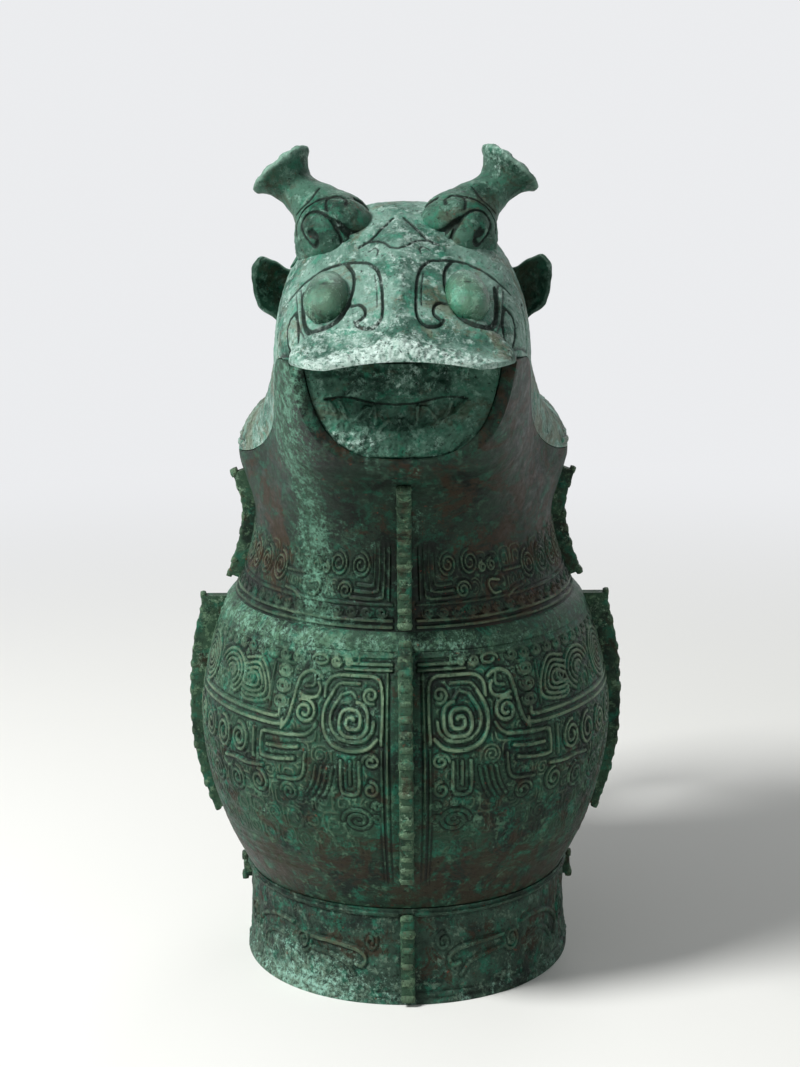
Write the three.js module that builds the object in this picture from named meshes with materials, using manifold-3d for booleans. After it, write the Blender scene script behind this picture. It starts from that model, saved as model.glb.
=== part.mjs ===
// Bronze gong wine vessel: an oval pouring vessel on a ring foot, with scored flanges,
// a loop handle at the rear and a lift-off lid whose front is a bottle-horned dragon head.
// Millimetres, +Z up. The spout and the dragon's snout face -Y, the handle +Y.
// The origin is on the table, midway between the snout and the back of the handle.
import * as THREE from "three";
import { mergeVertices } from "three/addons/utils/BufferGeometryUtils.js";
import Module from "manifold-3d";

const wasm = await Module();
wasm.setup();

// Vessel, from the table up: each rise is measured from the level before it
const footHeight = 33;
const bellyRise = 86.5;
const shoulderRise = 7;
const neckRise = 26.5;
const mouthRise = 21;
const bellyFullHeight = 84;

// Vessel, half-widths across the flanks
const footHalfWidth = 55;
const footTopHalfWidth = 54;
const rootHalfWidth = 53.5;
const bellyHalfWidth = 69.3;
const shoulderHalfWidth = 62.3;
const collarHalfWidth = 57.5;
const neckHalfWidth = 50;
const mouthHalfWidth = 55.4;
const spoutHalfWidth = 42;

// Vessel, half-lengths along the spout's line
const footHalfLength = 64;
const footTopHalfLength = 62.5;
const rootHalfLength = 62;
const bellyHalfLength = 80.5;
const shoulderHalfLength = 70.5;
const collarHalfLength = 67;
const neckHalfLength = 58;
const rearMouthHalfLength = 66;
const throatReach = 69;
const throatMouthReach = 87;
const throatUpperReach = 97;
const lipReach = 111;
const spoutEdgeReach = 142;

// Mouth edge: it dips at the flanks, lifts a little at the rear and climbs to the spout
const rearMouthLift = 11.5;
const spoutLipLift = 13;
const spoutEdgeLift = 44.5;
const lipSetback = 108;
const lipLean = 4;
const flankLobe = 28;
const mouthEdgeRun = 20;

// Casting walls, relief and running gaps
const wall = 4;
const floorThickness = 4.5;
const bellyProud = 1;
const bellySquareness = 2.05;
const spoutSquareness = 2.8;
const seamGap = 0.3;
const seatGap = 0.3;
const liftClearance = 0.45;

// Lid
const lidRoofRise = 24;
const lidRimSpare = 0.45;
const lidRearTurn = 80;
const lidRearEndTurn = 86;
const lidWall = 3.5;
const tongueDepth = 8;
const tongueThickness = 2;
const skullHeight = 262;
const skullReach = 66;
const napeReach = 22;
const browHeight = 250;
const browReach = 90;
const snoutReach = 127;
const snoutHeight = 223.5;
const snoutHalfWidth = 33.5;
const snoutArch = 2.5;
const faceFall = 5.5;
const jawThickness = 4;
const jawRecess = 1.2;
const jawClearance = 0.7;

// Horns: spread from the middle line, setback and height from the skull's top, radius along each
const hornRootSpread = 17.5;
const hornBendSpread = 23;
const hornWaistSpread = 30.3;
const hornTipSpread = 37.2;
const hornRootSetback = 2;
const hornTipSetback = 9.5;
const hornRootDrop = 17;
const hornBendDrop = 6;
const hornWaistRise = 4.5;
const hornTipRise = 12.6;
const hornRootRadius = 10.8;
const hornWaistRadius = 4.4;
const hornDiscRadius = 10.2;

// Ears and eyes
const earLength = 15;
const earWidth = 17;
const earThickness = 2.2;
const earReach = 53;
const earDrop = 28;
const earEmbed = 8;
const earCup = 2.4;
const earDroop = 0.25;
const eyeSpread = 20.5;
const eyeSetback = 26;
const eyeHalfWidth = 6;
const eyeHalfLength = 9;
const eyeBulge = 5.5;

// Scored flanges
const flangeThickness = 5;
const flangeDepth = 5;
const shoulderFlare = 2.6;
const neckFlangeDepth = 5.2;
const footFlangeDepth = 3.6;
const crestDepth = 4;
const crestThickness = 4;
const crestSetback = 16;
const flangeEndSpare = 1.2;
const flankFootRise = 10;
const bellyFlangeStart = 11.5;
const flankBellyStart = 13;
const frontNeckSpare = 9;
const flankNeckSpare = 7;
const scorePitch = 4.6;
const scoreDepth = 1.1;
const scoreWidth = 1.2;

// Handle
const handleReach = 127;
const handleTopHeight = 152;
const handleBottomHeight = 70;
const handleWidth = 15;
const handleDepth = 10;
const beastHeadWidth = 27;
const beastHeadLength = 40;
const beastHeadHeight = 22;
const beastHornSpan = 44;
const spurThickness = 6;
const spurDrop = 24;

// Faces round the oval and along the lid
const ovalSides = 48;
const archSides = 20;

// Levels that follow from the rises
const shoulderLevel = footHeight + bellyRise;
const collarLevel = shoulderLevel + shoulderRise;
const neckLevel = collarLevel + neckRise;
const mouthLevel = neckLevel + mouthRise;
const rearMouthLevel = mouthLevel + rearMouthLift;
const lipLevel = mouthLevel + spoutLipLift;
const spoutEdgeLevel = mouthLevel + spoutEdgeLift;
const aboveAll = spoutEdgeLevel + 12;

const clamp = (value, low, high) => Math.min(high, Math.max(low, value));

const smoothStep = (low, high, value) => {
  const t = clamp((value - low) / (high - low), 0, 1);
  return t * t * (3 - 2 * t);
};

// A curve through a few stations that never overshoots them
function through(stations) {
  const points = [...stations].sort((a, b) => a[0] - b[0]);
  const gaps = [];
  const slopes = [];
  for (let i = 0; i + 1 < points.length; i++) {
    gaps.push(points[i + 1][0] - points[i][0]);
    slopes.push((points[i + 1][1] - points[i][1]) / gaps[i]);
  }
  const last = points.length - 1;
  const endSlope = (g0, g1, s0, s1) => {
    const slope = ((2 * g0 + g1) * s0 - g0 * s1) / (g0 + g1);
    return slope * s0 <= 0 ? 0 : slope;
  };
  const tangents = points.map((point, i) => {
    if (i === 0) return endSlope(gaps[0], gaps[1], slopes[0], slopes[1]);
    if (i === last) return endSlope(gaps[last - 1], gaps[last - 2], slopes[last - 1], slopes[last - 2]);
    if (slopes[i - 1] * slopes[i] <= 0) return 0;
    const before = 2 * gaps[i] + gaps[i - 1];
    const after = gaps[i] + 2 * gaps[i - 1];
    return (before + after) / (before / slopes[i - 1] + after / slopes[i]);
  });
  return (value) => {
    const x = clamp(value, points[0][0], points[last][0]);
    let i = 0;
    while (i < last - 1 && x > points[i + 1][0]) i++;
    const t = (x - points[i][0]) / gaps[i];
    const rise = points[i][1] * (1 + 2 * t) * (1 - t) ** 2 + points[i + 1][1] * t * t * (3 - 2 * t);
    return rise + gaps[i] * (tangents[i] * t * (1 - t) ** 2 + tangents[i + 1] * t * t * (t - 1));
  };
}

// Vessel profile
const proud = (z) => bellyProud * (1 - smoothStep(shoulderLevel, shoulderLevel + 0.6, z));
const flankCurve = through([
  [footHeight, rootHalfWidth],
  [bellyFullHeight, bellyHalfWidth - bellyProud],
  [shoulderLevel, shoulderHalfWidth - bellyProud],
  [collarLevel, collarHalfWidth],
  [neckLevel, neckHalfWidth],
  [mouthLevel, mouthHalfWidth],
  [aboveAll, mouthHalfWidth + 2],
]);
const frontCurve = through([
  [footHeight, rootHalfLength],
  [bellyFullHeight, bellyHalfLength - bellyProud],
  [shoulderLevel, shoulderHalfLength - bellyProud],
  [collarLevel, collarHalfLength],
  [neckLevel - neckRise / 3, throatReach],
  [mouthLevel, throatMouthReach],
  [(mouthLevel + lipLevel) / 2, throatUpperReach],
  [lipLevel, lipReach],
  [spoutEdgeLevel, spoutEdgeReach],
  [aboveAll, spoutEdgeReach + 5],
]);
const rearCurve = through([
  [footHeight, rootHalfLength],
  [bellyFullHeight, bellyHalfLength - bellyProud],
  [shoulderLevel, shoulderHalfLength - bellyProud],
  [collarLevel, collarHalfLength],
  [neckLevel, neckHalfLength],
  [rearMouthLevel, rearMouthHalfLength],
  [aboveAll, rearMouthHalfLength + 6],
]);
const throatCurve = through([
  [footHeight, rootHalfWidth],
  [bellyFullHeight, bellyHalfWidth - bellyProud],
  [shoulderLevel, shoulderHalfWidth - bellyProud],
  [collarLevel, collarHalfWidth],
  [neckLevel, neckHalfWidth - 1],
  [(mouthLevel + lipLevel) / 2 + 8, spoutHalfWidth],
  [aboveAll, spoutHalfWidth],
]);
const flankAt = (z) => flankCurve(z) + proud(z);
const frontAt = (z) => frontCurve(z) + proud(z);
const rearAt = (z) => rearCurve(z) + proud(z);
const squarenessAt = (z) =>
  bellySquareness + (spoutSquareness - bellySquareness) * smoothStep(neckLevel, lipLevel, z);

// Half-width of the oval before its ends round off: the throat is narrower than the flanks
function breadth(y, z) {
  const flank = flankAt(z);
  if (y >= 0) return flank;
  const throat = throatCurve(z) + proud(z);
  return throat + (flank - throat) * Math.exp(-((y / flankLobe) ** 2));
}

// Half-width of the vessel's outside at one point of its length and height
function halfWidthAt(y, z, inset = 0) {
  const reach = (y < 0 ? frontAt(z) : rearAt(z)) - inset;
  const share = Math.abs(y) / reach;
  if (share >= 1) return 0;
  const n = squarenessAt(z);
  return (breadth(y, z) - inset) * (1 - share ** n) ** (1 / n);
}

const power = (value, exponent) => Math.sign(value) * Math.abs(value) ** exponent;

function ovalRing(z, inset = 0) {
  const ring = [];
  const exponent = 2 / squarenessAt(z);
  for (let i = 0; i < ovalSides; i++) {
    const angle = (i / ovalSides) * Math.PI * 2;
    const reach = (Math.sin(angle) < 0 ? frontAt(z) : rearAt(z)) - inset;
    const y = reach * power(Math.sin(angle), exponent);
    const x = (breadth(y, z) - inset) * power(Math.cos(angle), exponent);
    ring.push(new THREE.Vector3(x, y, z));
  }
  return ring;
}

// Height of the mouth edge along the vessel's length
const mouthEdge = through([
  [rearMouthHalfLength + mouthEdgeRun, rearMouthLevel + 0.5],
  [rearMouthHalfLength, rearMouthLevel],
  [rearMouthHalfLength / 2, mouthLevel + rearMouthLift / 4],
  [3, mouthLevel],
  [-15, mouthLevel + spoutEdgeLift * 0.04],
  [-50, mouthLevel + spoutEdgeLift * 0.4],
  [-75, mouthLevel + spoutEdgeLift * 0.87],
  [-95, mouthLevel + spoutEdgeLift * 0.985],
  [-lipSetback, spoutEdgeLevel],
]);

function spaced(from, to, count) {
  return Array.from({ length: count + 1 }, (unused, i) => from + ((to - from) * i) / count);
}

// A closed body from a row of closed rings of equal count, turned so that its faces point out
function loft(rings) {
  const count = rings[0].length;
  const positions = rings.flat().flatMap((point) => [point.x, point.y, point.z]);
  const index = [];
  for (let r = 0; r + 1 < rings.length; r++) {
    for (let i = 0; i < count; i++) {
      const a = r * count + i;
      const b = r * count + ((i + 1) % count);
      index.push(a, b, b + count, a, b + count, a + count);
    }
  }
  [0, rings.length - 1].forEach((r) => {
    const centre = new THREE.Vector3();
    rings[r].forEach((point) => centre.add(point));
    centre.divideScalar(count);
    const hub = positions.length / 3;
    positions.push(centre.x, centre.y, centre.z);
    for (let i = 0; i < count; i++) {
      const a = r * count + i;
      const b = r * count + ((i + 1) % count);
      if (r === 0) index.push(b, a, hub);
      else index.push(a, b, hub);
    }
  });
  const corner = (i) => new THREE.Vector3().fromArray(positions, index[i] * 3);
  let volume = 0;
  for (let i = 0; i < index.length; i += 3) {
    volume += corner(i).dot(corner(i + 1).cross(corner(i + 2)));
  }
  if (volume < 0) index.reverse();
  const geometry = new THREE.BufferGeometry();
  geometry.setAttribute("position", new THREE.Float32BufferAttribute(positions, 3));
  geometry.setIndex(index);
  return geometry;
}

function solid(geometry) {
  const bare = geometry.clone();
  bare.deleteAttribute("normal");
  bare.deleteAttribute("uv");
  const merged = mergeVertices(bare, 1e-4);
  return new wasm.Manifold(
    new wasm.Mesh({
      numProp: 3,
      vertProperties: new Float32Array(merged.attributes.position.array),
      triVerts: new Uint32Array(merged.index.array),
    }),
  );
}

function geometryOf(body) {
  const mesh = body.getMesh();
  const geometry = new THREE.BufferGeometry();
  geometry.setAttribute("position", new THREE.BufferAttribute(new Float32Array(mesh.vertProperties), 3));
  geometry.setIndex(new THREE.BufferAttribute(new Uint32Array(mesh.triVerts), 1));
  geometry.computeVertexNormals();
  return geometry;
}

// A plate in the plane of the vessel's length and height, centred on x
function lengthwisePlate(outline, thickness) {
  const shape = new THREE.Shape(outline.map(([y, z]) => new THREE.Vector2(y, z)));
  const geometry = new THREE.ExtrudeGeometry(shape, { depth: thickness, bevelEnabled: false });
  geometry.translate(0, 0, -thickness / 2);
  const toLength = new THREE.Matrix4().makeBasis(
    new THREE.Vector3(0, 1, 0),
    new THREE.Vector3(0, 0, 1),
    new THREE.Vector3(1, 0, 0),
  );
  return geometry.applyMatrix4(toLength);
}

// A plate in the plane across the vessel, centred on y
function crosswisePlate(outline, thickness) {
  const shape = new THREE.Shape(outline.map(([x, z]) => new THREE.Vector2(x, z)));
  const geometry = new THREE.ExtrudeGeometry(shape, { depth: thickness, bevelEnabled: false });
  geometry.translate(0, 0, -thickness / 2);
  return geometry.rotateX(Math.PI / 2);
}

// Everything above the mouth edge and in front of the spout's lip, raised by a gap
function aboveMouth(gap) {
  const stations = spaced(rearMouthHalfLength + mouthEdgeRun, -lipSetback, 40);
  const edge = stations.map((y) => [y, mouthEdge(y) + gap]);
  const lipFoot = lipLevel - 14;
  const leanPerRise = lipLean / (spoutEdgeLevel - lipLevel);
  const lipFootY = -lipSetback - leanPerRise * (spoutEdgeLevel - lipFoot);
  const far = handleReach * 2;
  return lengthwisePlate(
    [...edge, [lipFootY, lipFoot], [-far, lipFoot], [-far, far * 2], [edge[0][0], far * 2]],
    mouthHalfWidth * 4,
  );
}

// Face of the spout's lip: it leans forward towards the bottom of the U
const lipFaceAt = (z) => -lipSetback - (lipLean * (spoutEdgeLevel - z)) / (spoutEdgeLevel - lipLevel);

// Levels of the outside, closer together where the profile steps or turns
const outerLevels = [
  ...spaced(footHeight, bellyFullHeight, 5),
  ...spaced(bellyFullHeight, shoulderLevel, 4).slice(1),
  shoulderLevel + 0.6,
  ...spaced(shoulderLevel + 0.6, collarLevel, 2).slice(1),
  ...spaced(collarLevel, neckLevel, 3).slice(1),
  ...spaced(neckLevel, mouthLevel, 3).slice(1),
  ...spaced(mouthLevel, lipLevel, 4).slice(1),
  ...spaced(lipLevel, aboveAll, 4).slice(1),
];

// Levels of the inside, from the floor up past the mouth
const innerLevels = [
  ...spaced(footHeight + floorThickness, bellyFullHeight, 4),
  ...spaced(bellyFullHeight, collarLevel, 4).slice(1),
  ...spaced(collarLevel, neckLevel, 2).slice(1),
  ...spaced(neckLevel, mouthLevel, 3).slice(1),
  ...spaced(mouthLevel, lipLevel, 4).slice(1),
  ...spaced(lipLevel, aboveAll, 4).slice(1),
];

function makeVesselShell() {
  const outside = solid(loft(outerLevels.map((z) => ovalRing(z))));
  const inside = solid(loft([...innerLevels, aboveAll + 1].map((z) => ovalRing(z, wall + proud(z)))));
  return geometryOf(outside.subtract(inside).subtract(solid(aboveMouth(0))));
}

// Ring foot, open below
const footWidthAt = through([
  [0, footHalfWidth],
  [footHeight * 0.6, footTopHalfWidth],
  [footHeight, footTopHalfWidth],
]);
const footLengthAt = through([
  [0, footHalfLength],
  [footHeight * 0.6, footTopHalfLength],
  [footHeight, footTopHalfLength],
]);

function footLoop(z, inset) {
  const ring = [];
  const exponent = 2 / bellySquareness;
  for (let i = 0; i < ovalSides; i++) {
    const angle = (i / ovalSides) * Math.PI * 2;
    const x = (footWidthAt(z) - inset) * power(Math.cos(angle), exponent);
    const y = (footLengthAt(z) - inset) * power(Math.sin(angle), exponent);
    ring.push(new THREE.Vector3(x, y, z));
  }
  return ring;
}

const footLevels = spaced(0, footHeight - seatGap, 4);

function makeFootRing() {
  const top = footHeight - seatGap;
  const outside = solid(loft(footLevels.map((z) => footLoop(z, 0))));
  const inside = solid(loft([-1, top * 0.6, top + 1].map((z) => footLoop(z, wall))));
  return geometryOf(outside.subtract(inside));
}

// Outline of a scored flange that follows a profile curve between two heights.
// Its outer edge is cut by short notches at an even pitch, and its corners are square.
function scoredOutline(profile, low, high, depthAt, levels) {
  const between = levels.filter((z) => z > low && z < high).reverse();
  const inner = [high, ...between, low];
  const notches = Math.max(2, Math.round((high - low) / scorePitch));
  const pitch = (high - low) / notches;
  const outer = [];
  const edge = (z, cut) => outer.push([profile(z) + seatGap + depthAt(z) - cut, z]);
  edge(low, 0);
  for (let i = 1; i < notches; i++) {
    const z = low + i * pitch;
    edge(z - scoreWidth / 2, 0);
    edge(z - scoreWidth / 4, scoreDepth);
    edge(z + scoreWidth / 4, scoreDepth);
    edge(z + scoreWidth / 2, 0);
  }
  edge(high, 0);
  return [...outer, ...inner.map((z) => [profile(z) + seatGap, z])];
}

const turned = (outline) => outline.map(([reach, z]) => [-reach, z]).reverse();

// The belly's flanges stand out further where the shoulder falls back
const bellyDepth = (z) => flangeDepth + shoulderFlare * smoothStep(bellyFullHeight, shoulderLevel, z);
const neckDepth = () => neckFlangeDepth;
const footDepth = () => footFlangeDepth;

function makeFrontFlange(profile, low, high, depthAt, levels = outerLevels) {
  return lengthwisePlate(turned(scoredOutline(profile, low, high, depthAt, levels)), flangeThickness);
}

function makeRearFlange(profile, low, high, depthAt, levels = outerLevels) {
  return lengthwisePlate(scoredOutline(profile, low, high, depthAt, levels), flangeThickness);
}

function makeFlankFlange(profile, low, high, depthAt, side, levels = outerLevels) {
  const outline = scoredOutline(profile, low, high, depthAt, levels);
  return crosswisePlate(side > 0 ? outline : turned(outline), flangeThickness);
}

// Lid: its ridge line, from the rear edge over the roof and the skull down to the snout
const roofLevel = mouthLevel + lidRoofRise;
const ridgeLine = through([
  [rearMouthHalfLength, roofLevel - 4],
  [rearMouthHalfLength / 2, roofLevel],
  [0, roofLevel],
  [12 - napeReach, roofLevel + 4],
  [-napeReach, roofLevel + 16],
  [-(napeReach + skullReach) / 2, skullHeight - 8],
  [-skullReach, skullHeight],
  [-(skullReach + browReach) / 2, skullHeight - 4.5],
  [-browReach, browHeight],
  [-lipSetback, browHeight - (browHeight - snoutHeight) * 0.47],
  [-snoutReach + 3, snoutHeight + 1.5],
  [-snoutReach, snoutHeight],
]);
const faceShare = (y) => smoothStep(-skullReach + 8, -browReach, y);
const lidRearReach = rearAt(rearMouthLevel);

// Half-width of the lid at the seam, the same as the vessel's outside there
const lidHalfWidth = (y, inset = 0) => halfWidthAt(y, mouthEdge(y), inset);

// One arch over the lid at a point of its length, closed by a floor line
function lidArch(y, halfWidth, base, crown, floor) {
  const ring = [];
  const exponent = 2 / (2.2 + 0.4 * smoothStep(-napeReach, -browReach, y));
  for (let i = 0; i <= archSides; i++) {
    const angle = (i / archSides) * Math.PI;
    const x = halfWidth * power(Math.cos(angle), exponent);
    const lift = power(Math.sin(angle), exponent);
    const fall = faceFall * faceShare(y) * (Math.abs(x) / halfWidth) * lift;
    ring.push(new THREE.Vector3(x, y, base + (crown - base) * lift - fall));
  }
  return [...ring, ...floor.map(([x, z]) => new THREE.Vector3(x, y, z))];
}

const roofRounding = (y) => (y <= 0 ? 1 : (1 - Math.min(1, y / lidRearReach) ** 5) ** (1 / 2.4));

function lidBody(sideInset, topInset, front, skirt) {
  const rear = lidRearReach - sideInset;
  const rearStations = [...spaced(0, lidRearTurn, 7), lidRearEndTurn].map((degrees) => {
    return rear * Math.sin((degrees * Math.PI) / 180) ** (2 / bellySquareness);
  });
  const frontStations = [
    ...spaced(0, -napeReach, 4).slice(1),
    ...spaced(-napeReach, -skullReach, 5).slice(1),
    ...spaced(-skullReach, front, 5).slice(1),
  ];
  const rings = [...rearStations.reverse(), ...frontStations].map((y) => {
    const halfWidth = Math.max(0.6, lidHalfWidth(y, sideInset));
    const base = mouthEdge(y);
    const crown = base + Math.max(0.8, (ridgeLine(y) - base) * roofRounding(y) - topInset);
    const skirts = [[-halfWidth, base - skirt], [halfWidth, base - skirt]];
    return lidArch(y, halfWidth, base, crown, skirts);
  });
  return solid(loft(rings));
}

// Overhanging upper lip: a wide wedge with an arched underside
const snoutWidthAt = through([
  [-lipSetback + 6, halfWidthAt(-lipSetback + 6, spoutEdgeLevel)],
  [-lipSetback, halfWidthAt(-lipSetback, spoutEdgeLevel)],
  [-snoutReach + 5, snoutHalfWidth + 0.5],
  [-snoutReach, snoutHalfWidth - 1.5],
]);
const lidUnderside = (x, halfWidth) =>
  spoutEdgeLevel + seamGap + snoutArch * (1 - Math.min(1, Math.abs(x) / halfWidth) ** 2);

function snoutBody(swell, skirt) {
  const stations = [...spaced(-lipSetback + 6, -snoutReach + 3, 6), -snoutReach + 1, -snoutReach];
  const rings = stations.map((y) => {
    const halfWidth = snoutWidthAt(y) + swell;
    const base = spoutEdgeLevel + seamGap + 0.6;
    const floor = spaced(-0.9, 0.9, 8).map((share) => {
      return [share * halfWidth, lidUnderside(share * halfWidth, halfWidth) - skirt];
    });
    return lidArch(y, halfWidth, base, ridgeLine(y) + swell, floor);
  });
  return solid(loft(rings));
}

// The lid's rim is wide enough to carry the tongue; above it the wall thins to the crown
function makeLidShell() {
  const rimLand = wall + liftClearance + tongueThickness + lidRimSpare;
  const outside = lidBody(0, 0, -lipSetback, lidWall * 3).intersect(solid(aboveMouth(seamGap)));
  const cavity = lidBody(rimLand, lidWall, -lipSetback + 5, 13);
  return geometryOf(outside.add(snoutBody(0, 0)).subtract(cavity));
}

// Locating tongue: a thin wall under the lid's rim, just inside the mouth, open at the spout
function makeTongue() {
  const levels = innerLevels.filter((z) => z > neckLevel - 1);
  const inset = (z) => wall + proud(z) + liftClearance;
  const outside = solid(loft(levels.map((z) => ovalRing(z, inset(z)))));
  const inside = solid(loft([neckLevel - 2, ...levels, aboveAll + 1].map((z) => {
    return ovalRing(z, inset(z) + tongueThickness);
  })));
  const band = solid(aboveMouth(-tongueDepth)).subtract(solid(aboveMouth(0)));
  const stop = new THREE.BoxGeometry(mouthHalfWidth * 4, lipSetback * 2, aboveAll * 2);
  stop.translate(0, -lipSetback * 2 + 8, 0);
  return geometryOf(outside.subtract(inside).intersect(band).subtract(solid(stop)));
}

// Half-moon mouth plate that closes the spout's U, flush behind the lip's face
function makeJaw() {
  const gapInset = wall + jawClearance;
  const clearAt = (z) => frontAt(z) - gapInset + lipFaceAt(z) + jawRecess;
  let bottom = lipLevel;
  while (clearAt(bottom) < 0.5) bottom += 0.25;
  const top = mouthEdge(-lipSetback + jawRecess + jawThickness) + seamGap - seatGap;
  const sides = spaced(0, 1, 12).map((share) => bottom + (top - bottom) * share ** 2);
  const halfAt = (z) => halfWidthAt(lipFaceAt(z) + jawRecess, z, gapInset);
  const face = (shift) => [
    ...[...sides].reverse().map((z) => new THREE.Vector3(-halfAt(z), lipFaceAt(z) + shift, z)),
    ...sides.slice(1).map((z) => new THREE.Vector3(halfAt(z), lipFaceAt(z) + shift, z)),
  ];
  return loft([face(jawRecess), face(jawRecess + jawThickness)]);
}

// A round tube of changing radius along a smooth path
function tapered(points, radii, sides, steps) {
  const path = new THREE.CatmullRomCurve3(points, false, "centripetal");
  const radiusAt = through(radii);
  const frames = path.computeFrenetFrames(steps, false);
  const rings = spaced(0, 1, steps).map((t, i) => {
    const centre = path.getPoint(t);
    const radius = radiusAt(t);
    return spaced(0, sides - 1, sides - 1).map((k) => {
      const angle = (k / sides) * Math.PI * 2;
      const arm = frames.normals[i].clone().multiplyScalar(Math.cos(angle) * radius);
      return arm.addScaledVector(frames.binormals[i], Math.sin(angle) * radius).add(centre);
    });
  });
  return loft(rings);
}

const skinSkirt = 12;
const lidSkin = lidBody(-seatGap, -seatGap, -lipSetback, skinSkirt).add(snoutBody(seatGap, skinSkirt));

// Bottle horn: a full root, a narrow waist and a flared disc, leaning out and back
function makeHorn(side) {
  const setbackAt = (rise) => {
    const share = (rise + hornRootDrop) / (hornTipRise + hornRootDrop);
    return hornRootSetback + (hornTipSetback - hornRootSetback) * share;
  };
  const path = [
    [hornRootSpread, -hornRootDrop],
    [hornBendSpread, -hornBendDrop],
    [hornWaistSpread, hornWaistRise],
    [hornTipSpread, hornTipRise],
  ].map(([spread, rise]) => {
    return new THREE.Vector3(spread * side, setbackAt(rise) - skullReach, skullHeight + rise);
  });
  const horn = tapered(
    path,
    [
      [0, hornRootRadius],
      [0.3, hornRootRadius - 0.5],
      [0.62, hornWaistRadius + 1.2],
      [0.76, hornWaistRadius],
      [0.93, hornDiscRadius - 1.5],
      [0.96, hornDiscRadius],
      [1, hornDiscRadius - 0.8],
    ],
    14,
    18,
  );
  return geometryOf(solid(horn).subtract(lidSkin));
}

// Ear: a cupped leaf that stands out from the side of the skull
function makeEar(side) {
  const rings = spaced(0, 1, 8).map((t) => {
    const half = (earWidth / 2) * Math.sin(Math.PI * (0.18 + 0.74 * t)) ** 0.8;
    const centre = new THREE.Vector3(t * earLength, 2 * t, 4 * t * t);
    const cup = earCup * Math.sin(Math.PI * t * 0.8);
    const leaf = [];
    for (let i = 0; i <= 6; i++) {
      const across = -1 + (2 * i) / 6;
      leaf.push(new THREE.Vector3(centre.x, centre.y + cup * across * across, centre.z + half * across));
    }
    for (let i = 6; i >= 0; i--) {
      const across = -1 + (2 * i) / 6;
      const back = earThickness * (1 - 0.5 * across * across);
      leaf.push(new THREE.Vector3(centre.x, centre.y + cup * across * across + back, centre.z + half * across));
    }
    return leaf;
  });
  const ear = loft(rings);
  ear.rotateY(-earDroop);
  const rootHeight = skullHeight - earDrop - earLength * Math.sin(earDroop);
  ear.translate(lidHalfWidth(-earReach) - earEmbed, -earReach, rootHeight);
  if (side < 0) {
    ear.scale(-1, 1, 1);
    ear.setIndex([...ear.index.array].reverse());
  }
  return geometryOf(solid(ear).subtract(lidSkin));
}

// Eye: a bulging almond on the sloping face
function makeEye(side) {
  const eye = new THREE.SphereGeometry(1, 16, 12);
  eye.scale(eyeHalfWidth, eyeHalfLength, eyeBulge);
  const eyeReach = snoutReach - eyeSetback;
  const slope = Math.atan2(
    ridgeLine(-eyeReach + eyeHalfWidth) - ridgeLine(-eyeReach - eyeHalfWidth),
    eyeHalfWidth * 2,
  );
  eye.rotateX(slope);
  const base = mouthEdge(-eyeReach);
  const share = eyeSpread / lidHalfWidth(-eyeReach);
  const lift = (1 - share ** 2.6) ** (1 / 2.6);
  const height = base + (ridgeLine(-eyeReach) - base) * lift - faceFall * share * lift;
  eye.translate(eyeSpread * side, -eyeReach, height);
  return geometryOf(solid(eye).subtract(lidSkin));
}

// Low scored crest along the roof, from the nape to the rear
function makeCrest() {
  const front = -napeReach + crestSetback;
  const rear = rearMouthHalfLength - crestSetback;
  const roof = (y) => ridgeLine(y) * roofRounding(y) + mouthEdge(y) * (1 - roofRounding(y));
  const stations = spaced(front, rear, 12);
  const outline = scoredOutline(roof, front, rear, () => crestDepth, stations).map(([z, y]) => [y, z]);
  return lengthwisePlate(outline.reverse(), crestThickness);
}

// Loop handle: it leaves the neck level, sweeps round and comes back to the belly
const handleMiddle = (handleTopHeight + handleBottomHeight) / 2;
const handleRise = (handleTopHeight - handleBottomHeight) / 2;
const handleRoot = neckHalfLength - wall;

function handleCentre(angle) {
  const reach = handleReach - handleDepth / 2 - handleRoot;
  return {
    y: handleRoot + reach * power(Math.cos(angle), 0.75),
    z: handleMiddle + handleRise * power(Math.sin(angle), 0.9),
  };
}

function handleBody(swell) {
  const angles = spaced(90, -90, 20).map((degrees) => (degrees * Math.PI) / 180);
  const rings = angles.map((angle) => {
    const here = handleCentre(angle);
    const before = handleCentre(Math.min(Math.PI / 2, angle + 0.02));
    const after = handleCentre(Math.max(-Math.PI / 2, angle - 0.02));
    const length = Math.hypot(after.y - before.y, after.z - before.z);
    const outY = (before.z - after.z) / length;
    const outZ = (after.y - before.y) / length;
    return spaced(0, 11, 11).map((k) => {
      const turn = (k / 12) * Math.PI * 2;
      const across = (handleWidth / 2 + swell) * power(Math.cos(turn), 0.7);
      const out = (handleDepth / 2 + swell) * power(Math.sin(turn), 0.7);
      return new THREE.Vector3(across, here.y + out * outY, here.z + out * outZ);
    });
  });
  return solid(loft(rings));
}

const vesselSkin = solid(loft(outerLevels.map((z) => ovalRing(z, -seatGap))));
const handleLoop = handleBody(0).subtract(vesselSkin);
const handleSkin = handleBody(seatGap);

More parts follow.
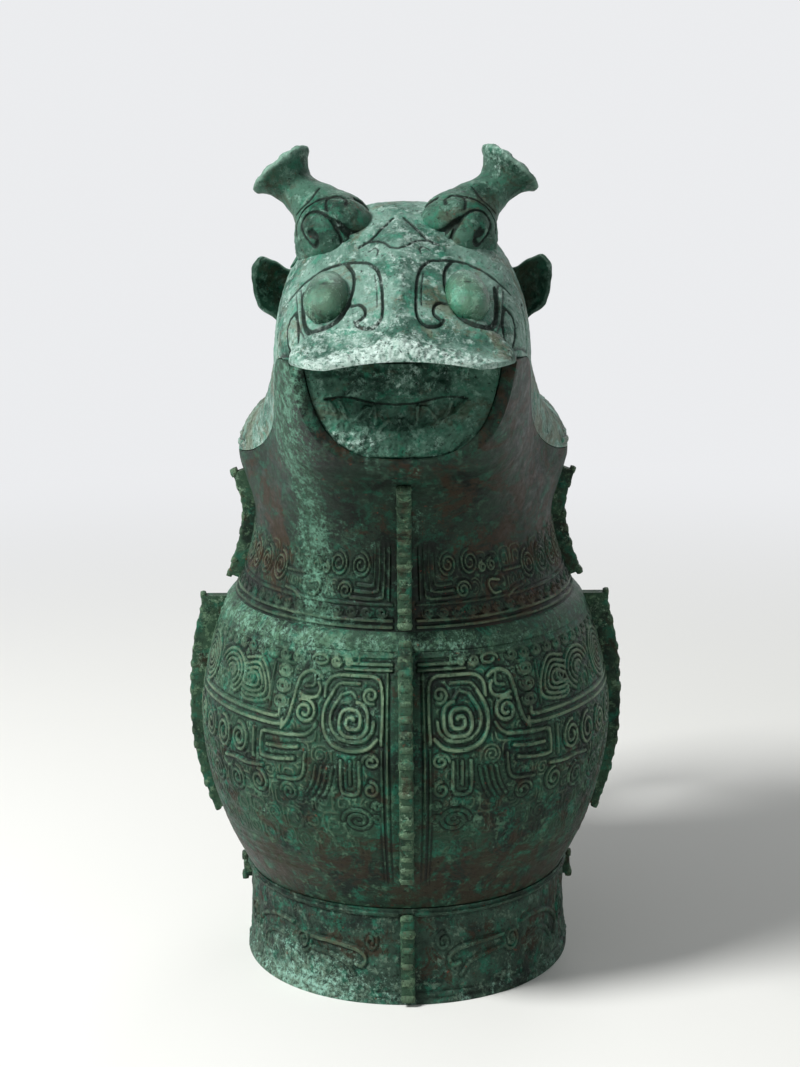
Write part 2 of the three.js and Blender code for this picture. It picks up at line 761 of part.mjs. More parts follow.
// Beast head that crowns the handle: a broad skull, a blunt muzzle, horns and ears
function makeBeastHead() {
  const start = neckHalfLength;
  const skullZ = handleTopHeight + handleDepth / 2 + beastHeadHeight / 2 - 3;
  const halfWidthOf = through([
    [0, beastHeadWidth * 0.42],
    [0.35, beastHeadWidth / 2],
    [0.7, beastHeadWidth * 0.34],
    [0.9, beastHeadWidth * 0.36],
    [1, beastHeadWidth * 0.26],
  ]);
  const halfHeightOf = through([
    [0, beastHeadHeight * 0.45],
    [0.35, beastHeadHeight / 2],
    [0.7, beastHeadHeight * 0.36],
    [1, beastHeadHeight * 0.24],
  ]);
  const rings = spaced(0, 1, 10).map((t) => {
    return spaced(0, 13, 13).map((k) => {
      const turn = (k / 14) * Math.PI * 2;
      const x = halfWidthOf(t) * power(Math.cos(turn), 0.85);
      const z = skullZ - 5 * t * t + halfHeightOf(t) * power(Math.sin(turn), 0.85);
      return new THREE.Vector3(x, start + beastHeadLength * t, z);
    });
  });
  const horn = (side) => {
    const span = (beastHornSpan / 2) * side;
    const root = new THREE.Vector3(side * 6, start + 16, skullZ + beastHeadHeight * 0.36);
    const bend = new THREE.Vector3(span * 0.85, start + 14, skullZ + beastHeadHeight * 0.5);
    const point = new THREE.Vector3(span, start + 19, skullZ + beastHeadHeight * 0.95);
    return solid(tapered([root, bend, point], [[0, 3.8], [0.6, 3], [1, 1]], 10, 8));
  };
  const ear = (side) => {
    const leaf = new THREE.SphereGeometry(1, 10, 8);
    leaf.scale(5.5, 1.8, 3);
    leaf.translate(side * (beastHeadWidth / 2 + 2), start + 12, skullZ + 1);
    return solid(leaf);
  };
  let head = solid(loft(rings));
  [-1, 1].forEach((side) => {
    head = head.add(horn(side)).add(ear(side));
  });
  return geometryOf(head.subtract(handleSkin).subtract(vesselSkin));
}

// Tail spur under the loop: a thin hooked plate
function makeSpur() {
  const angle = -0.62;
  const root = handleCentre(angle);
  const outline = [
    [root.y - 9, root.z - 3],
    [root.y - 2, root.z - spurDrop * 0.55],
    [root.y - 1, root.z - spurDrop],
    [root.y + 6, root.z - spurDrop + 1.5],
    [root.y + 8, root.z - spurDrop * 0.5],
    [root.y + 7, root.z + 3],
  ];
  const spur = solid(lengthwisePlate(outline, spurThickness));
  return geometryOf(spur.subtract(handleSkin).decompose()[0]);
}

// Materials
const bronze = (color, roughness) => new THREE.MeshStandardMaterial({ color, roughness, metalness: 0.35 });
const bodyGreen = 0x3f5a4c;
const neckGreen = 0x46604f;
const flangeGreen = 0x5c7468;
const headGreen = 0x6f9081;
const hornGreen = 0x7e9d8e;
const handleGreen = 0x4a6354;

const group = new THREE.Group();

function add(name, geometry, color, roughness = 0.62) {
  const mesh = new THREE.Mesh(geometry, bronze(color, roughness));
  mesh.name = name;
  group.add(mesh);
}

// Heights that the flanges run between
const footLow = flangeEndSpare;
const footHigh = footHeight - flangeEndSpare;
const flankFootLow = footHigh - flankFootRise;
const bellyLow = footHeight + bellyFlangeStart;
const flankBellyLow = footHeight + flankBellyStart;
const flankBellyHigh = collarLevel - flangeEndSpare * 2;
const frontBellyHigh = collarLevel - flangeEndSpare;
const rearBellyHigh = handleBottomHeight - handleDepth;
const frontNeckLow = collarLevel + flangeEndSpare;
const frontNeckHigh = lipLevel - frontNeckSpare;
const flankNeckLow = collarLevel + flangeEndSpare * 3;
const flankNeckHigh = mouthLevel - flankNeckSpare;

add("vessel_shell", makeVesselShell(), bodyGreen);
add("foot_ring", makeFootRing(), neckGreen, 0.7);
[
  ["front_foot_flange", makeFrontFlange(footLengthAt, footLow, footHigh, footDepth, footLevels)],
  ["front_belly_flange", makeFrontFlange(frontAt, bellyLow, frontBellyHigh, bellyDepth)],
  ["front_neck_flange", makeFrontFlange(frontAt, frontNeckLow, frontNeckHigh, neckDepth)],
  ["rear_foot_flange", makeRearFlange(footLengthAt, footLow, footHigh, footDepth, footLevels)],
  ["rear_belly_flange", makeRearFlange(rearAt, bellyLow, rearBellyHigh, bellyDepth)],
].forEach(([name, geometry]) => add(name, geometry, flangeGreen));
[["left", -1], ["right", 1]].forEach(([hand, side]) => {
  const foot = makeFlankFlange(footWidthAt, flankFootLow, footHigh, footDepth, side, footLevels);
  const belly = makeFlankFlange(flankAt, flankBellyLow, flankBellyHigh, bellyDepth, side);
  const neck = makeFlankFlange(flankAt, flankNeckLow, flankNeckHigh, neckDepth, side);
  add(`${hand}_foot_flange`, foot, flangeGreen);
  add(`${hand}_belly_flange`, belly, flangeGreen);
  add(`${hand}_neck_flange`, neck, flangeGreen);
});
add("handle_loop", geometryOf(handleLoop), handleGreen);
add("handle_beast_head", makeBeastHead(), handleGreen);
add("handle_spur", makeSpur(), handleGreen);
add("lid_shell", makeLidShell(), headGreen);
add("lid_tongue", makeTongue(), neckGreen);
add("lid_jaw", makeJaw(), headGreen);
add("lid_crest", makeCrest(), flangeGreen);
[["left", -1], ["right", 1]].forEach(([hand, side]) => {
  add(`${hand}_horn`, makeHorn(side), hornGreen);
  add(`${hand}_ear`, makeEar(side), hornGreen);
  add(`${hand}_eye`, makeEye(side), hornGreen, 0.5);
});

export default group;
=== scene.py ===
# Bronze gong wine vessel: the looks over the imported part.
# Shapes are written in millimetres and become metres when a mesh is made.
import math

import bpy
import numpy as np
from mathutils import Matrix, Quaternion, Vector


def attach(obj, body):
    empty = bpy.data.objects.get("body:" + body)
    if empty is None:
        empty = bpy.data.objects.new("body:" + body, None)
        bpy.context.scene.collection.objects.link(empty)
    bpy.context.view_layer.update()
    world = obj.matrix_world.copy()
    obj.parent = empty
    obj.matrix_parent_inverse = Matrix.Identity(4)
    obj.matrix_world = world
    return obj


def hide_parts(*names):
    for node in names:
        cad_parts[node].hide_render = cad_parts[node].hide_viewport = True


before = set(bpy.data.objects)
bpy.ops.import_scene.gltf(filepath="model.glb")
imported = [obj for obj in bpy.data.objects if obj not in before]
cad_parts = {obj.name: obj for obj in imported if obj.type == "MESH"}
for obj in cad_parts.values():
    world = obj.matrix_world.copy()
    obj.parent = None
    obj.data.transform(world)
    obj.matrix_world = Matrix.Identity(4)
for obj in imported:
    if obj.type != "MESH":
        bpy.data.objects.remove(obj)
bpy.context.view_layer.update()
mm = 0.001
print("frame loaded")


# Curves and small helpers

def through(stations):
    # a smooth curve through a few stations that never overshoots them
    points = sorted(stations)
    xs = np.array([p[0] for p in points], float)
    ys = np.array([p[1] for p in points], float)
    gaps = np.diff(xs)
    slopes = np.diff(ys) / gaps
    tangents = np.zeros(len(xs))
    for i in range(1, len(xs) - 1):
        if slopes[i - 1] * slopes[i] > 0:
            before = 2 * gaps[i] + gaps[i - 1]
            after = gaps[i] + 2 * gaps[i - 1]
            tangents[i] = (before + after) / (before / slopes[i - 1] + after / slopes[i])
    for end, near in ((0, 1), (-1, -2)):
        tilt = (2 * gaps[end] + gaps[near]) * slopes[end] - gaps[end] * slopes[near]
        tilt = tilt / (gaps[end] + gaps[near])
        tangents[end] = tilt if tilt * slopes[end] > 0 else 0

    def curve(value):
        x = np.clip(np.asarray(value, float), xs[0], xs[-1])
        i = np.clip(np.searchsorted(xs, x, side="left") - 1, 0, len(xs) - 2)
        t = (x - xs[i]) / gaps[i]
        rise = ys[i] * (1 + 2 * t) * (1 - t) ** 2 + ys[i + 1] * t * t * (3 - 2 * t)
        return rise + gaps[i] * (tangents[i] * t * (1 - t) ** 2 + tangents[i + 1] * t * t * (t - 1))

    return curve


def smoothStep(low, high, value):
    t = np.clip((np.asarray(value, float) - low) / (high - low), 0, 1)
    return t * t * (3 - 2 * t)


def bump(value, centre, width):
    return np.exp(-((value - centre) / width) ** 2)


def power(value, exponent):
    return np.sign(value) * np.abs(value) ** exponent


def unitOf(vectors):
    return vectors / np.maximum(np.linalg.norm(vectors, axis=-1, keepdims=True), 1e-9)


def runOf(line):
    # the distance travelled at each point of a line
    return np.concatenate([[0], np.cumsum(np.linalg.norm(np.diff(line, axis=0), axis=1))])


def smoothLine(points, step=0.5):
    # Catmull-Rom through the points, cut into short steps; two points stay a straight line
    p = np.asarray(points, float)
    if len(p) < 3:
        return p
    p = np.vstack([2 * p[0] - p[1], p, 2 * p[-1] - p[-2]])
    out = []
    for i in range(1, len(p) - 2):
        count = max(2, int(np.linalg.norm(p[i + 1] - p[i]) / step))
        t = np.linspace(0, 1, count, endpoint=False)[:, None]
        out.append(0.5 * (2 * p[i] + (p[i + 1] - p[i - 1]) * t
                          + (2 * p[i - 1] - 5 * p[i] + 4 * p[i + 1] - p[i + 2]) * t ** 2
                          + (3 * p[i] - 3 * p[i + 1] + p[i + 2] - p[i - 1]) * t ** 3))
    out.append(p[-2][None, :])
    return np.vstack(out)


def alongArc(points, count):
    # the same line, cut into even lengths
    p = np.asarray(points, float)
    run = runOf(p)
    at = np.linspace(0, run[-1], count)
    return np.stack([np.interp(at, run, p[:, k]) for k in range(p.shape[1])], axis=1)


casting = {"seed": 11, "cells": 48, "start": 17.3}
castGrain = np.random.default_rng(casting["seed"]).random((casting["cells"],) * 3).astype(np.float32)


def grain(points, size, shift=0.0):
    # soft random field of one grain size, from 0 to 1
    p = np.asarray(points, float) / size + casting["start"] + shift
    cell = np.floor(p).astype(int)
    f = p - cell
    f = f * f * (3 - 2 * f)
    total = 0
    for corner in np.ndindex(2, 2, 2):
        weight = np.prod(np.abs(1 - np.array(corner) - f), axis=-1)
        at = (cell + corner) % casting["cells"]
        total = total + weight * castGrain[at[..., 0], at[..., 1], at[..., 2]]
    return total


def castSkin(points, strength=1.0, pitDepth=2.2):
    # the uneven skin of an old casting: slow swells, small lumps and pits
    slow = grain(points, 13) - 0.5
    lumps = grain(points, 3.1, 5) - 0.5
    pits = np.clip(grain(points, 1.25, 9) - 0.78, 0, 1) * grain(points, 9, 3)
    return strength * (0.34 * slow + 0.16 * lumps - pitDepth * pits)


# The vessel's outside and the lid's, as in the part's source

shape = {
    "foot": 33, "shoulder": 119.5, "shoulderFade": 0.6, "collar": 126.5, "neck": 153, "lip": 187,
    "spoutEdge": 218.5, "rearMouth": 185.5, "lipSetback": 108, "lipLean": 4, "flankLobe": 28,
    "squareness": 2.05, "squarerSpout": 0.75, "wall": 4, "floor": 4.5, "seam": 0.3, "nape": 22,
    "skull": 66, "brow": 90, "snout": 127, "snoutFrom": 92, "underFrom": 103, "beakGap": 0.9,
    "lidSquareness": 2.2, "squarerFace": 0.4, "lidWall": 3.5, "rimLand": 6.9, "faceFall": 5.5,
    "solidRear": 56,
}
# stations of height and reach
flankCurve = through([(33, 53.5), (84, 68.3), (119.5, 61.3), (126.5, 57.5), (153, 50), (174, 55.4),
                      (230.5, 57.4)])
frontCurve = through([(33, 62), (84, 79.5), (119.5, 69.5), (126.5, 67), (144.17, 69), (174, 87), (180.5, 97),
                      (187, 111), (218.5, 142), (230.5, 147)])
rearCurve = through([(33, 62), (84, 79.5), (119.5, 69.5), (126.5, 67), (153, 58), (185.5, 66), (230.5, 72)])
throatCurve = through([(33, 53.5), (84, 68.3), (119.5, 61.3), (126.5, 57.5), (153, 49), (188.5, 42),
                       (230.5, 42)])
# stations along the length, rear to front, and their height
mouthEdge = through([(86, 186), (66, 185.5), (33, 176.9), (3, 174), (-15, 175.8), (-50, 191.8), (-75, 212.7),
                     (-95, 217.8), (-108, 218.5)])
ridgeLine = through([(66, 194), (33, 198), (0, 198), (-10, 202), (-22, 214), (-44, 254), (-66, 262),
                     (-78, 257.5), (-90, 250), (-108, 237.5), (-124, 225), (-127, 223.5)])


def proud(z):
    # the belly stands this much proud of the neck
    return 1 - smoothStep(shape["shoulder"], shape["shoulder"] + shape["shoulderFade"], z)


def squareness(z):
    return shape["squareness"] + shape["squarerSpout"] * smoothStep(shape["neck"], shape["lip"], z)


def breadth(y, z):
    flank = flankCurve(z) + proud(z)
    throat = throatCurve(z) + proud(z)
    return np.where(y >= 0, flank, throat + (flank - throat) * bump(y, 0, shape["flankLobe"]))


def outside(theta, z, inset=0):
    # theta is 0 at the front and grows towards the right flank
    theta, z = np.broadcast_arrays(np.asarray(theta, float), np.asarray(z, float))
    n = squareness(z)
    c, s = np.cos(theta), np.sin(theta)
    reach = np.where(c > 0, frontCurve(z), rearCurve(z)) + proud(z) - inset
    y = -reach * power(c, 2 / n)
    x = (breadth(y, z) - inset) * power(s, 2 / n)
    return np.stack([x, y, z], axis=-1)


def halfWidthAt(y, z):
    reach = np.where(y < 0, frontCurve(z), rearCurve(z)) + proud(z)
    share = np.clip(np.abs(y) / reach, 0, 1)
    n = squareness(z)
    return breadth(y, z) * (1 - share ** n) ** (1 / n)


def lipFace(z):
    lean = (shape["spoutEdge"] - z) / (shape["spoutEdge"] - shape["lip"])
    return -shape["lipSetback"] - shape["lipLean"] * lean


def mouthLevel(theta, inset=0):
    # height where the wall at this turn meets the mouth's edge or the face of the lip
    step = 0.25
    levels = np.arange(shape["collar"], shape["spoutEdge"] + 0.5, step)
    out = []
    for turn in theta:
        y = outside(turn, levels, inset)[:, 1]
        room = np.minimum(mouthEdge(y) - levels, y - lipFace(levels))
        after = int(np.argmax(room < 0)) if (room < 0).any() else len(levels) - 1
        a, b = room[after - 1], room[after]
        out.append(levels[after - 1] + step * a / (a - b) if a > b else levels[after])
    return np.array(out)


snoutWidth = through([(-92, float(halfWidthAt(-92, 217))), (-99, float(halfWidthAt(-99, 218)) - 0.9),
                      (-108, float(halfWidthAt(-108, 218.5)) - 2.8), (-113, 33.2), (-118, 31.2),
                      (-122.5, 28.6), (-125.5, 25.8), (-127, 22.5)])


def lidHalfWidth(y):
    y = np.asarray(y, float)
    overSpout = halfWidthAt(np.maximum(y, -shape["lipSetback"]), mouthEdge(y))
    onSnout = y < -shape["snoutFrom"]
    return np.where(onSnout, np.minimum(snoutWidth(y), overSpout), halfWidthAt(y, mouthEdge(y)))


def roofRounding(y):
    reach = float(rearCurve(shape["rearMouth"]))
    return np.where(np.asarray(y) <= 0, 1, (1 - np.clip(np.asarray(y, float) / reach, 0, 1) ** 5) ** (1 / 2.4))


def lidArch(y, count, sideInset=0.0, topInset=0.0):
    # one arch over the lid at a point of its length, from the right seam to the left, cut evenly
    halfWidth = max(0.6, float(lidHalfWidth(y)) - sideInset)
    overLip = shape["spoutEdge"] + shape["beakGap"]
    base = overLip if y < -shape["lipSetback"] else float(mouthEdge(y)) + shape["seam"]
    crown = base + max(0.5, (float(ridgeLine(y)) - base) * float(roofRounding(y)) - topInset)
    squarer = shape["squarerFace"] * float(smoothStep(-shape["nape"], -shape["brow"], y))
    exponent = 2 / (shape["lidSquareness"] + squarer)
    turn = np.concatenate([[0], np.geomspace(1e-4, 0.12, 40), np.linspace(0.13, math.pi / 2, 200)])
    x = halfWidth * power(np.cos(turn), exponent)
    rise = power(np.sin(turn), exponent)
    fall = float(smoothStep(8 - shape["skull"], -shape["brow"], y)) * (x / halfWidth) * rise
    z = base + (crown - base) * rise - shape["faceFall"] * fall
    side = np.stack([x, np.full_like(x, y), z], axis=1)
    whole = np.vstack([side, side[::-1][1:] * [-1, 1, 1]])
    if topInset == 0:
        # a keel down the middle of the snout, a dip behind its tip and a raised tip
        across = np.abs(whole[:, 0])
        keel = 1.5 * np.clip(1 - np.abs(whole[:, 0] + 0.8) / 8, 0, 1) * smoothStep(-80, -92, y)
        dip = 0.8 * bump(y, -116.5, 4.5) * np.clip(1 - (across / halfWidth) ** 4, 0, 1)
        whole[:, 2] += keel - dip + 1.5 * smoothStep(-118, -126, y)
    return alongArc(whole, count)


# Meshes

def placed(name, data):
    made = bpy.data.objects.new(name, data)
    bpy.context.scene.collection.objects.link(made)
    return made


def normalsOf(grid, away):
    # unit normals on the side that away points to
    normal = unitOf(np.cross(np.gradient(grid, axis=0), np.gradient(grid, axis=1)))
    return normal * np.sign((normal * away).sum(-1, keepdims=True))


def zipped(first, second):
    # triangles between two rows of corners with different counts
    faces = []
    i = j = 0
    a, b = len(first) - 1, len(second) - 1
    while i < a or j < b:
        if j == b or (i < a and (i + 1) * b <= (j + 1) * a):
            faces.append((first[i], first[i + 1], second[j]))
            i += 1
        else:
            faces.append((first[i], second[j + 1], second[j]))
            j += 1
    return np.array(faces)


def meshFrom(name, points, quads, triangles, values=None, sharpAngle=40, tint=None):
    # makes the object; relief and tint are kept on the corners for the patina
    points = np.asarray(points, float)
    mesh = bpy.data.meshes.new(name)
    mesh.vertices.add(len(points))
    mesh.vertices.foreach_set("co", (points * mm).ravel().astype(np.float32))
    corners = np.concatenate([np.ravel(quads), np.ravel(triangles)]).astype(np.int32)
    mesh.loops.add(len(corners))
    mesh.loops.foreach_set("vertex_index", corners)
    counts = np.concatenate([np.full(len(quads), 4), np.full(len(triangles), 3)])
    starts = np.concatenate([[0], np.cumsum(counts)[:-1]]).astype(np.int32)
    mesh.polygons.add(len(counts))
    mesh.polygons.foreach_set("loop_start", starts)
    mesh.polygons.foreach_set("use_smooth", np.ones(len(counts), bool))
    mesh.update(calc_edges=True)
    mesh.validate()
    for label, given in (("relief", values), ("tint", tint(points) if tint else None)):
        if given is not None:
            layer = mesh.attributes.new(label, "FLOAT", "POINT")
            layer.data.foreach_set("value", np.asarray(given, np.float32))
    mesh.set_sharp_from_angle(angle=math.radians(sharpAngle))
    return placed(name, mesh)


def outward(points, quads, triangles):
    # the same faces, turned over if they enclose a negative volume
    volume = 0.0
    for tri in (quads[:, [0, 1, 2]], quads[:, [0, 2, 3]], triangles):
        a, b, c = points[tri[:, 0]], points[tri[:, 1]], points[tri[:, 2]]
        volume += float((a * np.cross(b, c)).sum())
    return (quads[:, ::-1], triangles[:, ::-1]) if volume < 0 else (quads, triangles)


def ringQuads(rows, around):
    # faces between neighbouring rings of points
    i = np.arange(rows - 1)[:, None] * around
    k = np.arange(around)[None, :]
    n = (k + 1) % around
    return np.stack([i + k, i + n, i + around + n, i + around + k], axis=-1).reshape(-1, 4)


def slab(name, outer, inner, values, tint):
    # a closed wall from rows of outer points and rows of fewer inner points, one pair of rows per column
    columns, a = outer.shape[:2]
    b = inner.shape[1]
    count = a + b
    points = np.concatenate([outer, inner[:, ::-1]], axis=1).reshape(-1, 3)

    def cap(column):
        front = column * count + np.arange(a)
        return zipped(front, column * count + a + np.arange(b)[::-1])

    triangles = np.vstack([cap(0)[:, ::-1], cap(columns - 1)])
    quads, triangles = outward(points, ringQuads(columns, count), triangles)
    relief = np.zeros((columns, count))
    relief[:, :a] = values
    return meshFrom(name, points, quads, triangles, relief.ravel(), tint=tint)


def withHubs(points, rows, around):
    # faces for rings of points that are followed by a hub for each end
    k = np.arange(around)
    n = (k + 1) % around
    hub, end = rows * around, (rows - 1) * around
    triangles = np.vstack([np.stack([np.full(around, hub), n, k], axis=1),
                           np.stack([np.full(around, hub + 1), end + k, end + n], axis=1)])
    return (points, *outward(points, ringQuads(rows, around), triangles))


def tube(rings):
    rows, around = rings.shape[:2]
    points = np.vstack([rings.reshape(-1, 3), rings[0].mean(0)[None], rings[-1].mean(0)[None]])
    return withHubs(points, rows, around)


def ball(around, up):
    # a ball of radius 1
    u = np.linspace(0, 2 * math.pi, around, endpoint=False)
    v = np.linspace(-math.pi / 2, math.pi / 2, up + 1)[1:-1, None]
    rings = np.stack([np.cos(v) * np.cos(u), np.cos(v) * np.sin(u), np.sin(v) + 0 * u], axis=-1)
    return withHubs(np.vstack([rings.reshape(-1, 3), [[0, 0, -1]], [[0, 0, 1]]]), len(v), around)


def tubeValues(values):
    # values for a tube's rings and its two hubs
    return np.concatenate([np.ravel(values), [0, 0]])


def joined(name, parts, sharpAngle, tint=None):
    # several closed lumps as one object
    points, quads, triangles, values = zip(*parts)
    starts = np.cumsum([0] + [len(p) for p in points])
    quads = np.vstack([q + start for q, start in zip(quads, starts)])
    triangles = np.vstack([t + start for t, start in zip(triangles, starts)])
    return meshFrom(name, np.vstack(points), quads, triangles, np.concatenate(values), sharpAngle, tint)


def ringsAlong(path, first, second, turn, radius, flat=1.0):
    # rings round a path, laid out by two directions square to it
    cosine, sine = np.cos(turn)[None, :, None], np.sin(turn)[None, :, None]
    return path[:, None, :] + radius[:, None, None] * (cosine * first[:, None, :]
                                                       + flat * sine * second[:, None, :])


# the two sides and the sign of x on each
hands = (("left", -1), ("right", 1))


# Ornament: raised threads and cut lines drawn on a flat sheet, then laid over a surface

stroke = {"flatTop": 1.55, "wider": 1.4, "taller": 1.55, "groove": 3.2, "grooveDepth": 0.38,
          "threadRoom": 4.2, "cutRoom": 3.2}
asHeight = {"thread": 1, "cut": -1, "swell": 1}
# tone kept for the patina: raised threads get the pale worn tone, partly wear and partly a painted highlight;
# cuts get the dark hollow tone as painted shade
asTone = {"thread": 1, "cut": -1}


def newSheet(left, right, low, high, cell=0.16):
    size = (int((high - low) / cell) + 2, int((right - left) / cell) + 2)
    layers = {key: np.zeros(size, np.float32) for key in ("thread", "cut", "busy", "swell")}
    return {"left": left, "low": low, "cell": cell, **layers}


def rowsOf(sheet):
    return sheet["low"] + sheet["cell"] * np.arange(sheet["swell"].shape[0])[:, None]


def columnsOf(sheet):
    return sheet["left"] + sheet["cell"] * np.arange(sheet["swell"].shape[1])[None, :]


def draw(sheet, layer, points, width, depth):
    cell, left, low = sheet["cell"], sheet["left"], sheet["low"]
    grid = sheet[layer]
    half = width / 2
    p = np.asarray(points, float)
    for (x0, y0), (x1, y1) in zip(p[:-1], p[1:]):
        c0 = max(0, int((min(x0, x1) - half - left) / cell))
        c1 = min(grid.shape[1] - 1, int((max(x0, x1) + half - left) / cell) + 1)
        r0 = max(0, int((min(y0, y1) - half - low) / cell))
        r1 = min(grid.shape[0] - 1, int((max(y0, y1) + half - low) / cell) + 1)
        if c1 <= c0 or r1 <= r0:
            continue
        xs = left + cell * np.arange(c0, c1 + 1)[None, :]
        ys = low + cell * np.arange(r0, r1 + 1)[:, None]
        dx, dy = x1 - x0, y1 - y0
        t = np.clip(((xs - x0) * dx + (ys - y0) * dy) / max(dx * dx + dy * dy, 1e-9), 0, 1)
        away = ((xs - x0 - t * dx) ** 2 + (ys - y0 - t * dy) ** 2) / half ** 2
        profile = np.clip(1 - away, 0, 1)
        if layer == "thread":
            profile = np.minimum(stroke["flatTop"] * profile, 1)
        area = grid[r0:r1 + 1, c0:c1 + 1]
        np.maximum(area, depth * profile, out=area)


def thread(sheet, points, width=1.15, height=0.55):
    line = smoothLine(points)
    draw(sheet, "thread", line, width * stroke["wider"], height * stroke["taller"])
    draw(sheet, "cut", line, width * stroke["groove"], stroke["grooveDepth"])
    draw(sheet, "busy", line, stroke["threadRoom"], 1.0)


def cutLine(sheet, points, width=1.1, depth=0.6):
    line = smoothLine(points)
    draw(sheet, "cut", line, width, depth)
    draw(sheet, "busy", line, stroke["cutRoom"], 1.0)


def handed(points, side, shift=0.0):
    return [(side * x + shift, y) for x, y in points]


def spiral(x, y, outer, inner, turns, start=0.0, tall=1.0, square=1.0):
    t = np.linspace(0, 1, int(26 * abs(turns)) + 6)
    angle = math.radians(start) + 2 * math.pi * turns * t
    radius = outer + (inner - outer) * t
    return np.stack([x + radius * power(np.cos(angle), square),
                     y + radius * tall * power(np.sin(angle), square)], axis=1)


def squareSpiral(x, y, width, height, pitch, flip=1):
    # the thunder pattern's squared spiral, wound inwards
    left, right, low, high = -width / 2, width / 2, -height / 2, height / 2
    tight = pitch * 0.6
    line = [(left, low), (left, high), (right, high), (right, low)]
    while True:
        left += pitch
        line.append((left, low))
        high -= pitch
        if high - low < tight:
            break
        line.append((left, high))
        right -= pitch
        if right - left < tight:
            break
        line.append((right, high))
        low += pitch
        line.append((right, low))
        if high - low < tight:
            break
    p = np.array(line, float)
    return np.stack([x + flip * p[:, 0], y + p[:, 1]], axis=1)


def fillGround(sheet, left, right, low, high, size=(8.2, 7.4), pitch=1.75, height=0.42, width=0.95):
    # squared and round spirals in rows wherever nothing else was drawn
    fresh = {**sheet, "thread": np.zeros_like(sheet["thread"])}
    loose = np.random.default_rng(5)
    columns = max(1, round((right - left) / size[0]))
    rows = max(1, round((high - low) / size[1]))
    stepX, stepY = (right - left) / columns, (high - low) / rows
    for row in range(rows):
        for column in range(columns):
            flip = 1 if (row + column) % 2 else -1
            middleX = left + (column + 0.5) * stepX + (row % 2) * stepX / 2
            middleY = low + (row + 0.5) * stepY
            if (row * 7 + column * 3) % 5 < 3:
                line = squareSpiral(middleX, middleY, stepX - pitch * 0.8, stepY - pitch * 0.8, pitch, flip)
                line = smoothLine(line + 0.25 * (loose.random(line.shape) - 0.5), 0.7)
            else:
                line = spiral(middleX, middleY, stepX * 0.46, 0.7, 2.2 * flip, 90 * (column % 4),
                              stepY / stepX)
            draw(fresh, "thread", line, width, height)
    free = 1 - np.clip(sheet["busy"] * 1.6, 0, 1)
    sheet["thread"] = np.maximum(sheet["thread"], fresh["thread"] * free)


def fadeLines(sheet, fade, layers=("thread", "cut")):
    for layer in layers:
        sheet[layer] = sheet[layer] * fade.astype(np.float32)


def swellBy(sheet, rise):
    sheet["swell"] = sheet["swell"] + rise.astype(np.float32)


def readSheet(sheet, shares, x, y):
    # the drawn layers, added up in these shares and read between the cells
    grid = sum(share * sheet[layer] for layer, share in shares.items())
    fx = np.clip((x - sheet["left"]) / sheet["cell"], 0, grid.shape[1] - 1.001)
    fy = np.clip((y - sheet["low"]) / sheet["cell"], 0, grid.shape[0] - 1.001)
    c, r = fx.astype(int), fy.astype(int)
    u, v = fx - c, fy - r
    return (grid[r, c] * (1 - u) * (1 - v) + grid[r, c + 1] * u * (1 - v)
            + grid[r + 1, c] * (1 - u) * v + grid[r + 1, c + 1] * u * v)


# Paint

def paint(r, g, b):
    # written as a picture's 0 to 255 values
    def linear(c):
        c = c / 255
        return c / 12.92 if c <= 0.04045 else ((c + 0.055) / 1.055) ** 2.4
    return (linear(r), linear(g), linear(b), 1)


class Nodes:
    # a small hand for wiring a node tree
    def __init__(self, tree):
        self.tree = tree

    def add(self, kind, settings=None, **inputs):
        node = self.tree.nodes.new(kind)
        for key, value in (settings or {}).items():
            setattr(node, key, value)
        for key, value in inputs.items():
            self.plug(node, key.replace("_", " "), value)
        return node

    def plug(self, node, key, value):
        socket = node.inputs[int(key[1:])] if key[0] == "i" and key[1:].isdigit() else node.inputs[key]
        if isinstance(value, bpy.types.NodeSocket):
            self.tree.links.new(value, socket)
        else:
            socket.default_value = value

    def noise(self, where, scale, detail=4.0, rough=0.55, distort=0.0):
        node = self.add("ShaderNodeTexNoise", Vector=where, Scale=scale, Detail=detail, Roughness=rough,
                        Distortion=distort)
        return node.outputs["Fac"]

    def ramp(self, value, low, high):
        node = self.add("ShaderNodeMapRange", {"clamp": True, "interpolation_type": "SMOOTHSTEP"}, Value=value,
                        From_Min=low, From_Max=high)
        return node.outputs["Result"]

    def arithmetic(self, kind, *values, clamp=False):
        node = self.add("ShaderNodeMath", {"operation": kind, "use_clamp": clamp})
        for place, value in enumerate(values):
            self.plug(node, f"i{place}", value)
        return node.outputs[0]

    def share(self, first, second):
        # a product kept between 0 and 1
        return self.arithmetic("MULTIPLY", first, second, clamp=True)

    def sum(self, first, second, share):
        return self.arithmetic("MULTIPLY_ADD", second, share, first)

    def scaled(self, vector, share):
        node = self.add("ShaderNodeVectorMath", {"operation": "SCALE"}, i0=vector, Scale=share)
        return node.outputs["Vector"]

    def mix(self, share, first, second):
        node = self.add("ShaderNodeMix", {"data_type": "RGBA", "clamp_factor": True}, i0=share, i6=first,
                        i7=second)
        return node.outputs[2]

    def seenRay(self):
        # 1 for rays from the camera, also by way of metal or glass
        ray = self.add("ShaderNodeLightPath").outputs
        mirrored = self.arithmetic("MAXIMUM", ray["Is Glossy Ray"], ray["Is Transmission Ray"])
        return self.arithmetic("MAXIMUM", ray["Is Camera Ray"], mirrored)


def newMaterial(name):
    material = bpy.data.materials.new(name)
    material.use_nodes = True
    material.node_tree.nodes.clear()
    return material, Nodes(material.node_tree)


